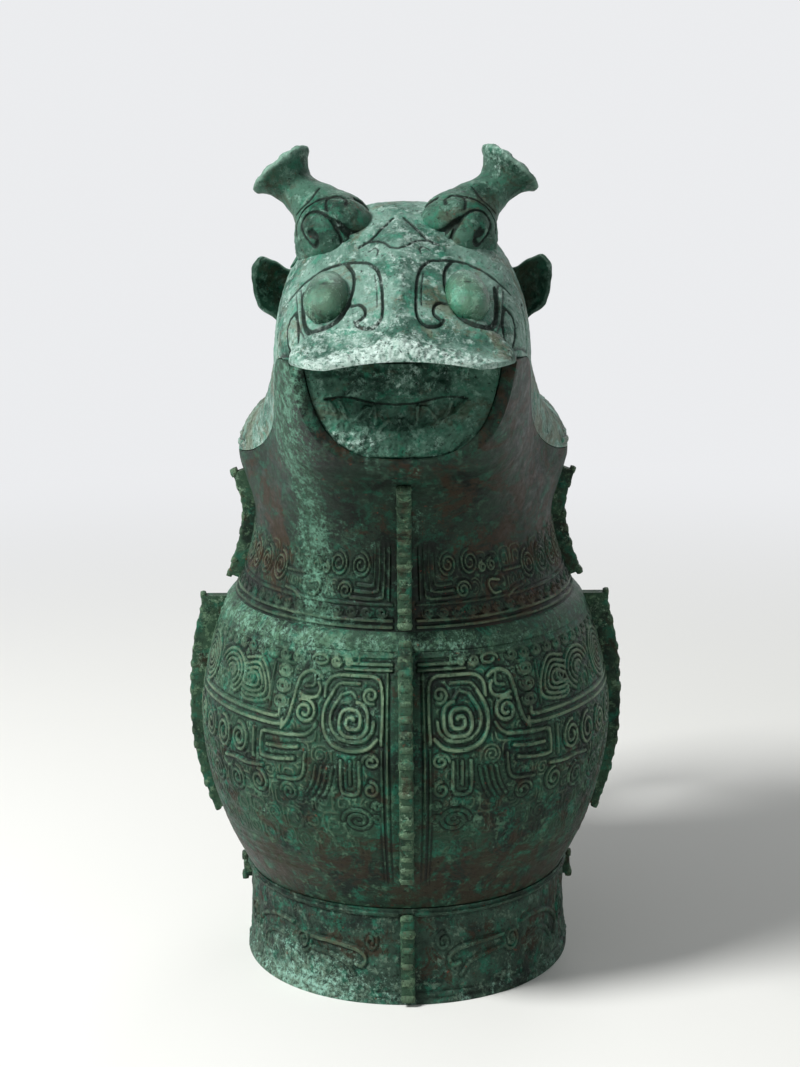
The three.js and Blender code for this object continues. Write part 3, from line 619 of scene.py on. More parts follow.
# where each noise is moved to, its scale, detail, roughness and distortion
stains = {
    "slow": ((0, 0, 0), 52, 10, 0.7, 0.5), "medium": ((1, 4, 2), 260, 10, 0.78, 0.3),
    "fine": ((2, 2, 7), 1100, 8, 0.75, 0), "teal": ((5, 1, 3), 170, 10, 0.78, 0.2),
    "rust": ((3.1, 1.7, 0.4), 95, 10, 0.78, 0.6), "wearAndHighlight": ((2.2, 5.1, 0.7), 75, 8, 0.7, 0),
    "zone": ((9, 2, 5), 85, 10, 0.72, 0), "crumbs": ((6, 6, 1), 700, 10, 0.8, 0),
    "pale": ((8, 3, 3), 340, 8, 0.75, 0), "specks": ((7.3, 2.9, 5.4), 420, 6, 0.66, 0),
    "pits": ((4, 8, 8), 900, 6, 0.7, 0),
}


def patina(name, tones, verdigris=1.0, brown=0.6, crust=0.5, gloss=0.5, seed=0.0, crumb=700, specular=0.17,
           stretch=1.0):
    # stretch draws the stains out from front to back
    material, n = newMaterial(name)
    place = n.add("ShaderNodeTexCoord").outputs["Object"]
    relief = n.add("ShaderNodeAttribute", {"attribute_name": "relief"}).outputs["Fac"]
    tint = n.add("ShaderNodeAttribute", {"attribute_name": "tint"}).outputs["Fac"]

    def stain(label, scale=None):
        (x, y, z), usual, detail, rough, distort = stains[label]
        moved = n.add("ShaderNodeMapping", Vector=place, Location=(x + seed, y + seed * 0.7, z),
                      Scale=(1, 1 / stretch, 1)).outputs[0]
        return n.noise(moved, scale or usual, detail, rough, distort)

    def layered(colour, *layers):
        for share, strength, tone in layers:
            colour = n.mix(n.share(share, strength), colour, paint(*tones[tone]))
        return colour

    medium = stain("medium")
    rust = n.sum(stain("rust"), tint, -0.1)
    # how pale the raised relief turns, varying from place to place: partly wear, partly a painted highlight on
    # the threads
    wearAndHighlight = n.sum(0.35, n.ramp(stain("wearAndHighlight"), 0.42, 0.58), 0.65)
    raised = n.share(n.ramp(relief, 0.1, 0.9), wearAndHighlight)
    colour = n.mix(n.ramp(stain("slow"), 0.4, 0.56), paint(*tones["deep"]), paint(*tones["mid"]))
    # relief below zero takes the dark hollow tone: painted shade in cuts, grooves and sunken places
    colour = layered(colour, (n.ramp(medium, 0.52, 0.62), 0.7, "light"),
                     (n.ramp(stain("teal"), 0.5, 0.64), 0.75, "malachite"),
                     (n.ramp(rust, 0.54, 0.61), brown, "brown"),
                     (n.ramp(relief, 0.0, -0.3), 0.85, "hollow"), (raised, 0.72, "worn"))
    # powdery verdigris where the tint asks for it, in crumbs; on the head, jaw and belly shoulder the tint also
    # lays this pale powder where light falls, as painted light
    zone = n.sum(stain("zone"), tint, 0.1)
    crumbs = n.sum(stain("crumbs", crumb), tint, 0.045)
    powder = n.share(n.ramp(crumbs, 0.5, 0.62), n.ramp(zone, 0.5, 0.64))
    pale = n.mix(n.ramp(stain("pale"), 0.42, 0.6), paint(*tones["light"]), paint(*tones["powder"]))
    colour = n.mix(n.share(powder, 0.85 * verdigris), colour, pale)
    colour = layered(colour, (n.ramp(stain("specks"), 0.66, 0.7), brown, "red"),
                     (n.ramp(stain("pits"), 0.43, 0.36), 0.8, "hollow"))
    shine = n.add("ShaderNodeMapRange", Value=medium, From_Min=0.36, From_Max=0.64, To_Min=gloss - 0.12,
                  To_Max=gloss + 0.16).outputs["Result"]
    rough = n.add("ShaderNodeMix", {"data_type": "FLOAT"}, i0=powder, i2=shine, i3=0.88).outputs[0]
    lumps = n.add("ShaderNodeBump", Strength=0.8 * crust, Distance=0.0008, Height=medium).outputs["Normal"]
    uneven = n.add("ShaderNodeBump", Strength=0.9 * crust, Distance=0.0003, Height=stain("fine"), Normal=lumps)
    surface = n.add("ShaderNodeBsdfPrincipled", Base_Color=colour, Roughness=rough, Metallic=0.15,
                    Normal=uneven.outputs["Normal"], Specular_IOR_Level=specular)
    n.add("ShaderNodeOutputMaterial", Surface=surface.outputs[0])
    return material


# hollow: near-black painted shade for cuts, grooves and sunken places, also used for small dark pit specks;
# worn: pale tone of raised relief, partly wear and partly a painted highlight
bodyTones = dict(deep=(13, 29, 22), mid=(34, 62, 46), light=(84, 118, 94), malachite=(28, 104, 82),
                 powder=(128, 172, 150), brown=(46, 36, 24), red=(98, 52, 36), hollow=(6, 12, 9),
                 worn=(140, 166, 132))
# the head's tones are far paler than the body's: partly a paler patina, partly painted light where the head's
# upper faces catch the light
headTones = dict(bodyTones, deep=(46, 84, 70), mid=(112, 146, 132), light=(176, 198, 188),
                 malachite=(42, 128, 102), powder=(212, 230, 222), worn=(180, 204, 193), brown=(98, 86, 62))
hornTones = dict(headTones, deep=(24, 54, 42), mid=(62, 98, 82), light=(116, 150, 134),
                 malachite=(28, 104, 80), powder=(184, 212, 200), worn=(136, 168, 152), brown=(64, 56, 40))
eyeTones = dict(headTones, deep=(30, 70, 52), mid=(56, 108, 82), light=(122, 166, 142), powder=(176, 206, 192),
                hollow=(14, 36, 28))
neckTones = dict(bodyTones, deep=(13, 22, 17), mid=(27, 44, 34), light=(54, 80, 64), malachite=(24, 78, 60),
                 powder=(104, 150, 128))
footTones = dict(bodyTones, deep=(18, 32, 26), mid=(46, 68, 56), light=(104, 128, 110), powder=(150, 194, 176))
flangeTones = dict(bodyTones, deep=(20, 38, 28), mid=(50, 78, 58), light=(112, 144, 112),
                   powder=(168, 198, 172), worn=(176, 200, 162))
bodyBronze = patina("patina_body", bodyTones, verdigris=0.9, brown=0.8, crust=0.8, gloss=0.44)
neckBronze = patina("patina_neck", neckTones, verdigris=0.85, brown=0.9, crust=0.35, gloss=0.55, seed=1.7,
                    crumb=620, stretch=2.6)
headBronze = patina("patina_head", headTones, brown=0.5, crust=1.0, gloss=0.44, seed=3.1)
hornBronze = patina("patina_horn", hornTones, brown=0.5, crust=1.0, gloss=0.44, seed=3.1)
footBronze = patina("patina_foot", footTones, brown=0.9, crust=1.0, gloss=0.52, seed=4.9)
flangeBronze = patina("patina_flange", flangeTones, brown=0.8, crust=1.0, gloss=0.55, seed=6.3)
eyeBronze = patina("patina_eye", eyeTones, verdigris=0.6, brown=0.15, crust=0.8, gloss=0.2, seed=11.3,
                   specular=0.5)
insideBronze = patina("patina_inside", footTones, verdigris=0.4, brown=1.0, crust=0.7, gloss=0.65, seed=8.1)


def dress(made, material, body, replaced):
    made.data.materials.clear()
    made.data.materials.append(material)
    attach(made, body)
    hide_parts(*replaced)


# Belly

belly = {"scale": 75, "columns": 285, "rows": 235, "rearColumns": 300, "rearRows": 150, "innerRows": 18,
         "closerFront": 0.06, "edgeFade": 1.5}


def drawBelly():
    s = newSheet(-1, 119, 32, 128)
    # small band under the shoulder
    thread(s, [(4.5, 119.1), (118, 119.1)], 0.9, 0.4)
    thread(s, [(4.5, 115.2), (22, 115.2)], 0.9, 0.5)
    thread(s, [(4.5, 116.9), (20, 116.9)], 0.9, 0.5)
    thread(s, [(16.8, 119), (16.8, 117)], 0.9, 0.5)
    thread(s, spiral(25.6, 117.2, 2.2, 0.5, 1.5, 200, 0.75), 0.9)
    thread(s, spiral(20.8, 117.2, 1.9, 0.4, 1.3, 20, 0.75), 0.9)
    thread(s, spiral(31.8, 117.2, 3.6, 2.0, 1.0, 0, 0.48), 0.9)
    for at in np.arange(42, 116, 6.2):
        thread(s, spiral(at, 117.2, 2.6, 0.7, 1.6, 180, 0.62), 0.85, 0.45)
    thread(s, [(6, 114), (6, 42)], 0.9, 0.5)
    thread(s, [(7.9, 91), (7.9, 43)], 0.8, 0.4)
    # the mask's great curl beside the flange
    thread(s, [(8, 93), (7.7, 103), (8.2, 110.5), (10.5, 113), (17, 113.4), (25, 113), (28.4, 110.6),
               (28.8, 106.5)],
           1.1, 0.6)
    thread(s, [(25.6, 108.4), (28.6, 103), (28.6, 97), (25.4, 92.4), (19.4, 90.6), (13, 91.4),
               (9.4, 94.4)], 1.2, 0.62)
    thread(s, [(22.6, 107.4), (26, 102), (25.8, 97.6), (22.8, 94.4), (18.6, 93.4), (14, 94), (11.2, 96.6),
               (10.6, 99.6)],
           1.1, 0.55)
    thread(s, spiral(18.4, 99.6, 6.2, 0.9, 2.1, 100, 0.95, 0.72), 1.2, 0.62)
    thread(s, spiral(11.8, 107.6, 2.9, 0.7, 1.4, 250, 0.9), 1.05, 0.55)
    thread(s, [(16, 111), (23, 110.8), (25.4, 109)], 0.95, 0.5)
    thread(s, [(17, 106.6), (19, 108.4), (22, 107.6)], 0.95, 0.5)
    # scroll like an S
    thread(s, [(30.5, 112), (33, 113.4), (36.4, 113.4), (39.3, 111.6), (40.6, 108.2), (41.4, 104), (43, 98.5),
               (45.6, 95)], 1.2, 0.6)
    thread(s, [(38.8, 106.4), (36, 105.6), (32, 106.2), (30.8, 108.6), (31.8, 110.4)], 1.1, 0.6)
    thread(s, [(33.6, 112.4), (33.4, 109.6), (36.8, 108.8)], 0.95, 0.5)
    thread(s, spiral(36.4, 101.2, 4.6, 1.0, 1.7, 60, 0.85), 1.15, 0.62)
    # strip of small ovals
    for at in (112.6, 107.9, 103.2):
        thread(s, spiral(47, at, 3.5, 0.8, 2.1, 160, 0.6), 0.9, 0.48)
    thread(s, [(43, 115), (51.5, 115)], 0.8, 0.4)
    thread(s, [(52.6, 114), (52.2, 101)], 0.8, 0.4)
    # nests of arcs towards the flank
    for step in range(4):
        grow = step * 2.1
        thread(s, [(68, 107.4 + grow * 0.92), (62.5 - grow * 0.5, 109.4 + grow * 0.75),
                   (59.6 - grow * 0.95, 108), (60 - grow, 105.8 - grow * 0.5), (64, 105.2 - grow * 0.72),
                   (68, 105.6 - grow * 0.6)], 1.05, 0.55)
    thread(s, spiral(64.6, 107.6, 2.6, 0.6, 1.4, 90, 0.7), 0.95, 0.5)
    for step in range(4):
        grow = step * 2.2
        thread(s, spiral(77, 107.6, 2.6 + grow, 2.6 + grow, 0.62, 20, 0.72), 1.05, 0.55)
    thread(s, spiral(77, 107.6, 2.0, 0.5, 1.2, 90, 0.7), 0.95, 0.5)
    for step in range(5):
        grow = step * 2.1
        thread(s, spiral(100, 107.4, 1.6 + grow, 1.6 + grow, 0.98, 0, 0.78), 1.05, 0.55)
    # double line across the mask
    thread(s, [(47, 100.4), (48, 98.4), (60, 98.3), (84, 98.3), (117, 98.3)], 1.15, 0.6)
    thread(s, [(45.4, 97.6), (47, 96), (60, 95.8), (84, 95.8), (117, 95.8)], 1.15, 0.6)
    # nested bars, ovals and the line below them
    thread(s, [(36, 94), (45, 93.2), (53.4, 92.8), (54.6, 91), (54.6, 86), (53.6, 84.8), (47, 85),
               (40, 86)], 1.15, 0.6)
    thread(s, [(38.4, 90), (45, 89.1), (51.6, 88.9)], 1.15, 0.6)
    thread(s, [(36, 94), (33.4, 95.6), (31.6, 98)], 1.0, 0.5)
    thread(s, spiral(66.6, 88, 4.7, 1.2, 1.9, 80, 1.05), 1.1, 0.58)
    thread(s, spiral(77.4, 87.4, 4.9, 1.2, 1.9, 80, 1.15), 1.1, 0.58)
    thread(s, [(58.6, 93), (58.6, 83.6)], 1.0, 0.5)
    thread(s, [(54.2, 81.4), (62, 80.6), (69, 80.8), (76, 80)], 1.15, 0.58)
    for at in (89, 101, 112):
        thread(s, spiral(at, 87.5, 5.0, 1.1, 2.1, 100, 0.98), 1.05, 0.55)
    # lower belly
    thread(s, spiral(56.6, 75.6, 4.2, 0.9, 1.7, 90, 0.95), 1.05, 0.55)
    for at, level in ((69.5, 73.6), (84, 72.8), (99, 72)):
        thread(s, spiral(at, level, 4.6, 0.9, 1.9, 90, 0.95), 1.0, 0.52)
    thread(s, spiral(11.4, 87.4, 3.0, 0.8, 1.4, 0, 0.8), 1.0, 0.52)
    thread(s, [(15.6, 87), (15.6, 78.4), (17, 76.4), (20.6, 76.4), (22, 78.4), (22, 87)], 1.0, 0.52)
    thread(s, [(18.8, 87), (18.8, 79.6)], 0.9, 0.46)
    thread(s, spiral(11.6, 78.2, 2.7, 0.7, 1.3, 90, 1.0), 1.0, 0.5)
    for step in range(4):
        thread(s, [(25 + step * 2.1, 84.6), (26.4 + step * 2.1, 79), (28.6 + step * 2.3, 74.6)], 0.85, 0.42)
    thread(s, [(35.6, 88), (36.2, 82), (38.8, 79.4), (47, 78.6)], 1.0, 0.5)
    thread(s, spiral(42.4, 74.6, 3.6, 0.8, 1.6, 0, 0.85), 1.0, 0.5)
    thread(s, spiral(16.4, 67.4, 5.6, 1.4, 1.9, 0, 0.72), 1.0, 0.52)
    for at in (72.4, 67.8):
        thread(s, spiral(9.8, at, 1.6, 0.5, 1.1, 0, 1.0), 0.85, 0.45)
    for at in (53, 50.4, 47.8, 45.2):
        draw(s, "thread", [(9, at), (118, at)], 1.2, 0.35)
    fillGround(s, 8.5, 117.5, 54.5, 114.5)
    level = rowsOf(s)
    fadeLines(s, 0.45 + 0.55 * smoothStep(56, 84, level), ["thread"])
    fadeLines(s, smoothStep(40, 46, level) * (1 - smoothStep(119.2, 119.7, level)))
    # plain band above the shoulder
    band = 1.3 * np.clip(1 - ((level - 122.6) / 3.9) ** 2, 0, 1) ** 0.8
    swellBy(s, band - 0.5 * bump(level, 119.4, 0.5))
    return s


bellySheet = drawBelly()
print("belly ornament drawn")


def sheetTurn(thetas):
    # how far along the drawn sheet a turn lies, from the nearer of the front and the rear
    fromFront = np.abs(np.mod(thetas + math.pi, 2 * math.pi) - math.pi)
    return np.minimum(fromFront, math.pi - fromFront) * belly["scale"]


def bellyPatinaAndLightTint(p):
    # pale powder on the shoulder band, more on the left and upper belly, less towards the bottom: partly
    # patina, partly painted light where light falls on the band and the left flank
    x, z = p[:, 0], p[:, 2]
    left = smoothStep(10, -25, x)
    return (1.4 * bump(z, 123, 3.4) * (0.6 + 0.4 * left) + 0.5 * left * smoothStep(88, 112, z)
            - 0.8 * smoothStep(72, 45, z))


def wall(name, grid, inner, rise, tone, tint):
    # a cast wall: the grid's points pushed outwards by rise
    outer = grid + normalsOf(grid, grid * [1, 1, 0]) * rise[..., None]
    return slab(name, outer, inner, tone, tint)


def bellyPatch(name, thetas, rows):
    turns = thetas[:, None]
    levels = np.linspace(shape["foot"], shape["collar"], rows)[None, :]
    grid = outside(turns, levels)
    across = sheetTurn(turns)
    fade = belly["edgeFade"]
    ends = smoothStep(0, fade, levels - shape["foot"]) * smoothStep(0, fade, shape["collar"] - levels)
    innerLevels = np.linspace(shape["foot"], shape["collar"], belly["innerRows"])[None, :]
    inner = outside(turns, innerLevels, shape["wall"] + proud(innerLevels))
    made = wall(name, grid, inner, readSheet(bellySheet, asHeight, across, levels) + castSkin(grid) * ends,
                readSheet(bellySheet, asTone, across, levels), bellyPatinaAndLightTint)
    dress(made, bodyBronze, "vessel", ["vessel_shell"])


evenTurn = np.linspace(0, math.pi / 2, belly["columns"])
for hand, side in hands:
    frontTurn = evenTurn - belly["closerFront"] * np.sin(2 * evenTurn)
    bellyPatch(f"belly_front_{hand}", side * frontTurn, belly["rows"])
bellyPatch("belly_rear", np.linspace(math.pi / 2, 3 * math.pi / 2, belly["rearColumns"]), belly["rearRows"])
print("belly made")


# Neck and spout

neck = {"frontColumns": 420, "frontRows": 170, "rearColumns": 170, "rearRows": 110, "innerRows": 16,
        "lipRows": 8}


def drawNeck():
    s = newSheet(-1, 119, 126, 220)
    thread(s, [(5, 128), (118, 128)], 1.0, 0.5)
    thread(s, [(5, 130.1), (118, 130.1)], 1.0, 0.5)
    for at in np.arange(9.5, 116, 6.6):
        thread(s, spiral(at, 132.6, 2.6, 0.6, 1.6, 180, 0.66), 0.8, 0.4)
    thread(s, [(5, 135.4), (118, 135.4)], 0.85, 0.4)
    thread(s, [(6.6, 163), (6.6, 137)], 0.85, 0.42)
    thread(s, [(8.8, 160), (8.8, 140), (10.4, 137.6), (14, 137.2), (24, 137.4)], 0.9, 0.45)
    thread(s, [(11, 158), (11, 142), (12.4, 139.8), (15.4, 139.4), (22, 139.6)], 0.9, 0.45)
    thread(s, [(13.2, 156), (13.2, 143.4), (14.8, 141.6), (21, 141.8)], 0.85, 0.42)
    thread(s, spiral(26.4, 139.6, 3.6, 0.8, 1.7, 0, 0.85), 0.95, 0.48)
    thread(s, spiral(20, 148.6, 4.6, 0.9, 2.0, 90, 1.0), 0.9, 0.45)
    thread(s, spiral(31, 148.6, 4.6, 0.9, 2.0, 90, 1.0), 0.9, 0.45)
    thread(s, [(45, 137), (41.4, 137), (39.6, 139.4), (40.4, 141.6), (45.4, 141)], 1.0, 0.55)
    thread(s, spiral(42.4, 146.6, 2.6, 0.6, 1.5, 90, 0.9), 0.95, 0.5)
    thread(s, spiral(37.4, 146.4, 2.2, 0.6, 1.3, 90, 0.9), 0.95, 0.5)
    thread(s, [(49, 143.6), (60, 143.4)], 0.95, 0.45)
    thread(s, [(49, 134.9), (53, 136.8), (59, 137.6)], 0.95, 0.45)
    for at in (66, 78, 90, 102):
        thread(s, spiral(at, 143.6, 5.2, 0.9, 2.3, 90, 1.0), 0.95, 0.48)
    fillGround(s, 6, 117.5, 136.2, 151.5, (7.6, 7.6), 1.7, 0.34, 0.9)
    fadeLines(s, 1 - smoothStep(150, 160, rowsOf(s)))
    return s


neckSheet = drawNeck()


def neckTint(p):
    x, y, z = p[:, 0], p[:, 1], p[:, 2]
    front = smoothStep(10, -15, y)
    high = smoothStep(162, 205, z)
    strip = bump(x, -29 - 8 * high, 6 + 2 * smoothStep(170, 205, z)) * smoothStep(0, -20, y)
    return (2.3 * front * strip - 1.0 * front * bump(x, -42, 8) * bump(z, 150, 24)
            + 0.8 * bump(z, 129, 3) * smoothStep(0, -30, x) - 0.5 * smoothStep(5, 25, x) * front)


def neckWall(thetas, rows, inset=0):
    # levels from the collar to the mouth, and the points of the wall at them
    height = mouthLevel(thetas, inset)[:, None] - shape["collar"]
    levels = shape["collar"] + height * np.linspace(0, 1, rows)[None, :]
    return levels, outside(thetas[:, None], levels, inset)


def neckPatch(name, thetas, rows):
    levels, grid = neckWall(thetas, rows)
    across = sheetTurn(thetas[:, None])
    ends = smoothStep(0, 2, levels - shape["collar"]) * smoothStep(0, 2.5, levels[:, -1:] - levels)
    rise = readSheet(neckSheet, asHeight, across, levels) + castSkin(grid, 1.1, 0.4) * ends
    outer = grid + normalsOf(grid, grid * [1, 1, 0]) * rise[..., None]
    inner = neckWall(thetas, neck["innerRows"], shape["wall"])[1]
    # rows over the wall's top, which stands forward and is uneven along the lip
    share = np.linspace(0, 1, neck["lipRows"])[None, 1:-1, None]
    lip = outer[:, -1:] * (1 - share) + inner[:, -1:] * share
    free = smoothStep(217.5, 214, lip[..., 2]) * smoothStep(-95, -104, lip[..., 1])
    lip[..., 1] -= free * (0.8 * np.sin(math.pi * share[..., 0]) ** 0.6 + 0.9 * (grain(lip, 1.6, 4) - 0.5))
    tone = readSheet(neckSheet, asTone, across, levels)
    tone = np.concatenate([tone, np.zeros(lip.shape[:2])], axis=1)
    made = slab(name, np.concatenate([outer, lip], axis=1), inner, tone, neckTint)
    dress(made, neckBronze, "vessel", ["vessel_shell"])


neckPatch("neck_front", np.linspace(-math.pi / 2, math.pi / 2, neck["frontColumns"]), neck["frontRows"])
neckPatch("neck_rear", np.linspace(math.pi / 2, 3 * math.pi / 2, neck["rearColumns"]), neck["rearRows"])
print("neck made")


# Ring foot

foot = {"columns": 420, "rows": 84, "top": 32.7, "innerStep": 12}
footWidth = through([(0, 55), (19.8, 54), (33, 54)])
footLength = through([(0, 64), (19.8, 62.5), (33, 62.5)])


def drawFoot():
    s = newSheet(-1, 119, -1, 34)
    thread(s, [(4, 30.6), (118, 30.6)], 1.3, 0.5)
    thread(s, [(4, 3), (118, 3)], 1.2, 0.3)
    thread(s, [(46, 19.6), (35, 19.2), (27, 18.4), (21.6, 17.2), (18.6, 14.8), (20.4, 12.2),
               (23.4, 12.8)], 1.4, 0.7)
    thread(s, spiral(16, 20.6, 3.2, 0.8, 1.4, 90, 0.95), 1.1, 0.55)
    thread(s, [(46, 15.6), (36, 14.6), (28, 12.4), (24, 8.8)], 1.2, 0.55)
    thread(s, spiral(51, 17.4, 4.4, 0.9, 1.8, 180, 0.95), 1.2, 0.6)
    thread(s, [(58, 22), (66, 22.6), (76, 21.4), (84, 18.6), (88, 14.4), (85, 11)], 1.3, 0.6)
    thread(s, spiral(96, 17, 5.2, 0.9, 2.1, 90, 1.0), 1.1, 0.55)
    thread(s, [(62, 16), (72, 16.4), (79, 13.6), (81, 9)], 1.2, 0.5)
    fillGround(s, 5, 117.5, 5.5, 28.5, (7.6, 7.6), 1.8, 0.12, 0.9)
    level = rowsOf(s)
    swellBy(s, 0.9 * smoothStep(29.4, 31.4, level) + 0.5 * smoothStep(4.4, 2, level))
    return s


footSheet = drawFoot()


def footTint(p):
    x, z = p[:, 0], p[:, 2]
    return 1.9 * bump(x, -36, 16) * smoothStep(26, 4, z) + 0.7 * smoothStep(9, 0, z) - 0.4 * bump(z, 18, 8)


def footWall(turns, level, inset=0):
    exponent = 2 / shape["squareness"]
    x = (footWidth(level) - inset) * power(np.sin(turns), exponent)
    y = -(footLength(level) - inset) * power(np.cos(turns), exponent)
    return np.stack([x, y, np.broadcast_to(level, x.shape)], axis=-1)


def footPatch(name, thetas):
    turns = thetas[:, None]
    level = np.linspace(0, foot["top"], foot["rows"])[None, :]
    grid = footWall(turns, level)
    across = sheetTurn(turns)
    ends = smoothStep(0, 1.5, level) * smoothStep(0, 1.5, foot["top"] - level)
    rough = 0.8 * (grain(grid, 2.2, 1) - 0.5) * (0.5 + smoothStep(14, 2, level))
    rise = readSheet(footSheet, asHeight, across, level) + (castSkin(grid, 1.5) + rough) * ends
    inner = footWall(turns, level, shape["wall"])[:, ::foot["innerStep"]]
    inner[:, -1, 2] = foot["top"]
    made = wall(name, grid, inner, rise, 0.5 * readSheet(footSheet, asTone, across, level), footTint)
    dress(made, footBronze, "vessel", ["foot_ring"])


footPatch("foot_front", np.linspace(-math.pi / 2, math.pi / 2, foot["columns"]))
footPatch("foot_rear", np.linspace(math.pi / 2, 3 * math.pi / 2, foot["columns"] // 2))
print("foot made")


# Lid: the dragon's head in front and the roof behind

head = {"rows": 265, "across": 290, "roofRows": 120, "roofAcross": 230, "inside": 28, "off": -0.8,
        "core": 190}


def overHead(points):
    # points seen from above, laid along the arch over the head
    out = []
    for x, y in points:
        arch = lidArch(y, 240)
        run = runOf(arch)
        out.append((-float(np.interp(x, arch[::-1, 0], run[::-1] - run[-1] / 2)), y))
    return out


def drawFace():
    s = newSheet(-95, 95, -128, -20, 0.2)
    for hand, side in hands:
        def at(points):
            return handed(overHead(points), side, head["off"])
        # the long outline round the eye, open at its lower corner, and the hook inside it
        cutLine(s, at([(33, -88.2), (28.6, -88.6), (24.2, -88.9), (19.6, -89.4), (15.4, -90.6),
                       (12, -91.8), (9.2, -93),
                       (7, -95.7), (5.8, -99), (5.1, -103.9), (4.9, -108), (4.9, -111.4), (5.5, -113.6),
                       (7.4, -114.8),
                       (10.2, -114.6), (12, -113.6), (13, -112.2)]), 1.0, 0.85)
        cutLine(s, at([(7.2, -98), (6.6, -104), (6.5, -109.5)]), 0.6, 0.3)
        cutLine(s, at([(14, -106.6), (11.6, -107.1), (10.1, -109), (10.1, -111.2),
                       (12.2, -112.4)]), 1.0, 0.85)
        cutLine(s, at([(15.6, -91), (13.6, -95.4), (13.6, -101), (15.2, -106.4)]), 1.1, 0.8)
        cutLine(s, at([(28.6, -93), (28.8, -99.2), (28, -104.8), (25.8, -109.2), (22, -110.8), (18, -109.8),
                       (15, -105.6)]), 2.2, 1.1)
        # drop beside the eye and the fold behind it
        cutLine(s, at([(31, -96.6), (33.2, -96.4), (33.9, -99), (33, -105), (31.8, -107.2), (30.4, -105.8),
                       (30.2, -101.6), (31, -97)]), 1.2, 0.9)
        thread(s, at([(30.2, -90.6), (29.8, -96), (29.2, -102), (27.6, -107.6)]), 1.1, 0.4)
        # peak of the brow and the curls under the horns
        cutLine(s, at([(1.6, -76.8), (5, -81), (8.4, -84.6), (12, -86)]), 0.9, 0.7)
        cutLine(s, at([(12, -86), (8.4, -85.2), (5, -86.6), (2.4, -89.8), (0, -91.4)]), 0.8, 0.55)
        cutLine(s, at([(9, -88.6), (7.2, -88), (6.2, -89.4), (6.6, -91)]), 0.7, 0.4)
        # cheek, nape and skull
        thread(s, at([(36.5, -84), (38.5, -90), (38.8, -97), (37.4, -103)]), 1.2, 0.4)
        for step in range(3):
            cutLine(s, at([(30 + step * 2.6, -44 - step * 2), (24 + step * 3.2, -50 - step * 2),
                           (22 + step * 3.6, -58 - step)]), 1.0, 0.6)
        cutLine(s, at([(2.2, -60), (7, -57), (9.6, -51), (8.4, -45), (4, -42.6), (2.2, -45.4),
                       (4.8, -47.6)]), 0.9, 0.55)
        cutLine(s, at([(12, -60), (14.6, -52), (13.4, -43), (8, -37.6), (0, -36)]), 0.9, 0.5)
        cutLine(s, at([(16.4, -58), (19, -49), (17.6, -40), (11.4, -33.4), (0, -31)]), 0.8, 0.42)
    return s


def drawRoof():
    # a coiled dragon on each side of the crest, over thunder pattern
    s = newSheet(-95, 95, -24, 68, 0.2)
    for hand, side in hands:
        def at(points):
            return handed(points, side)
        thread(s, at([(6, -20), (6, 48), (9, 54), (16, 58), (30, 60)]), 1.2, 0.5)
        thread(s, at([(8.6, -18), (8.6, 44), (11.4, 49.6), (17, 53.4), (30, 55.6)]), 1.1, 0.45)
        thread(s, at([(64, -12), (62, 10), (58, 36), (48, 50)]), 1.2, 0.5)
        thread(s, at([(60.6, -8), (58.6, 12), (54.6, 34), (45.6, 46.4)]), 1.1, 0.45)
        thread(s, spiral(side * 25, 22, 12, 1.4, 3.0 * side, 90, 0.95, 0.8), 1.4, 0.62)
        thread(s, at([(13, 22), (13.4, 8), (18, -3), (27, -9), (36, -8), (41, -1), (38, 6),
                      (31, 5.6)]), 1.4, 0.62)
        thread(s, at([(16.4, 12), (18.4, 5), (23.4, -1.6), (29.4, -4), (34.6, -2.4)]), 1.1, 0.5)
        thread(s, at([(44, 2), (48, 12), (47, 26), (42, 38), (34, 44), (26, 42)]), 1.3, 0.6)
        thread(s, at([(48, -8), (53, -3), (54, 6), (50, 9.6), (46.6, 6)]), 1.1, 0.5)
        left, right = sorted((side * 10.5, side * 57))
        fillGround(s, left, right, -16, 50, (7.6, 7.6), 1.8, 0.3, 0.95)
    level = rowsOf(s)
    fade = smoothStep(-21, -14, level) * smoothStep(64, 58, level)
    fadeLines(s, fade * smoothStep(70, 62, np.abs(columnsOf(s))))
    return s


roofSheet = drawRoof()
faceSheet = drawFace()
print("face drawn")


def headPatinaAndLightTint(p):
    # paler powder on the ledge, left of the keel and the brow peak where light falls, as painted light; less on
    # the right cheek, as painted shade; less on the rear of the head
    x, y = p[:, 0], p[:, 1]
    return (1.7 * smoothStep(-118, -125, y) + 0.7 * smoothStep(-104, -114, y) * smoothStep(2, -6, x)
            + 0.6 * bump(x, 0, 8) * bump(y, -88, 10) - 0.7 * smoothStep(-80, -50, y)
            - 0.6 * bump(x, 16, 9) * bump(y, -108, 9))


def underLip(x, halfWidth):
    # the underside of the snout's ledge, arched over the jaw plate
    return shape["spoutEdge"] + 0.3 + 2.5 * (1 - np.clip(np.abs(x) / halfWidth, 0, 1) ** 2)


def lidInside(y):
    # one row of points under the lid: the ledge's underside, the hollow, or the solid rear end
    wide = float(lidHalfWidth(y))
    if y < -shape["underFrom"]:
        x = np.linspace(wide - 0.4, -wide + 0.4, head["inside"])
        flat = shape["spoutEdge"] + shape["seam"] + 0 * x
        arched = smoothStep(-shape["lipSetback"] - 0.2, -shape["lipSetback"] - 1, y)
        level = np.minimum(flat + (underLip(x, wide) - flat) * arched, float(ridgeLine(y)) - 1)
        return np.stack([x, np.full_like(x, y), level], axis=1)
    if y > shape["solidRear"]:
        row = lidArch(y, head["inside"], min(shape["rimLand"], wide * 0.6))
        row[:, 2] = float(mouthEdge(y)) + shape["seam"]
        return row
    return lidArch(y, head["inside"], shape["rimLand"], shape["lidWall"])


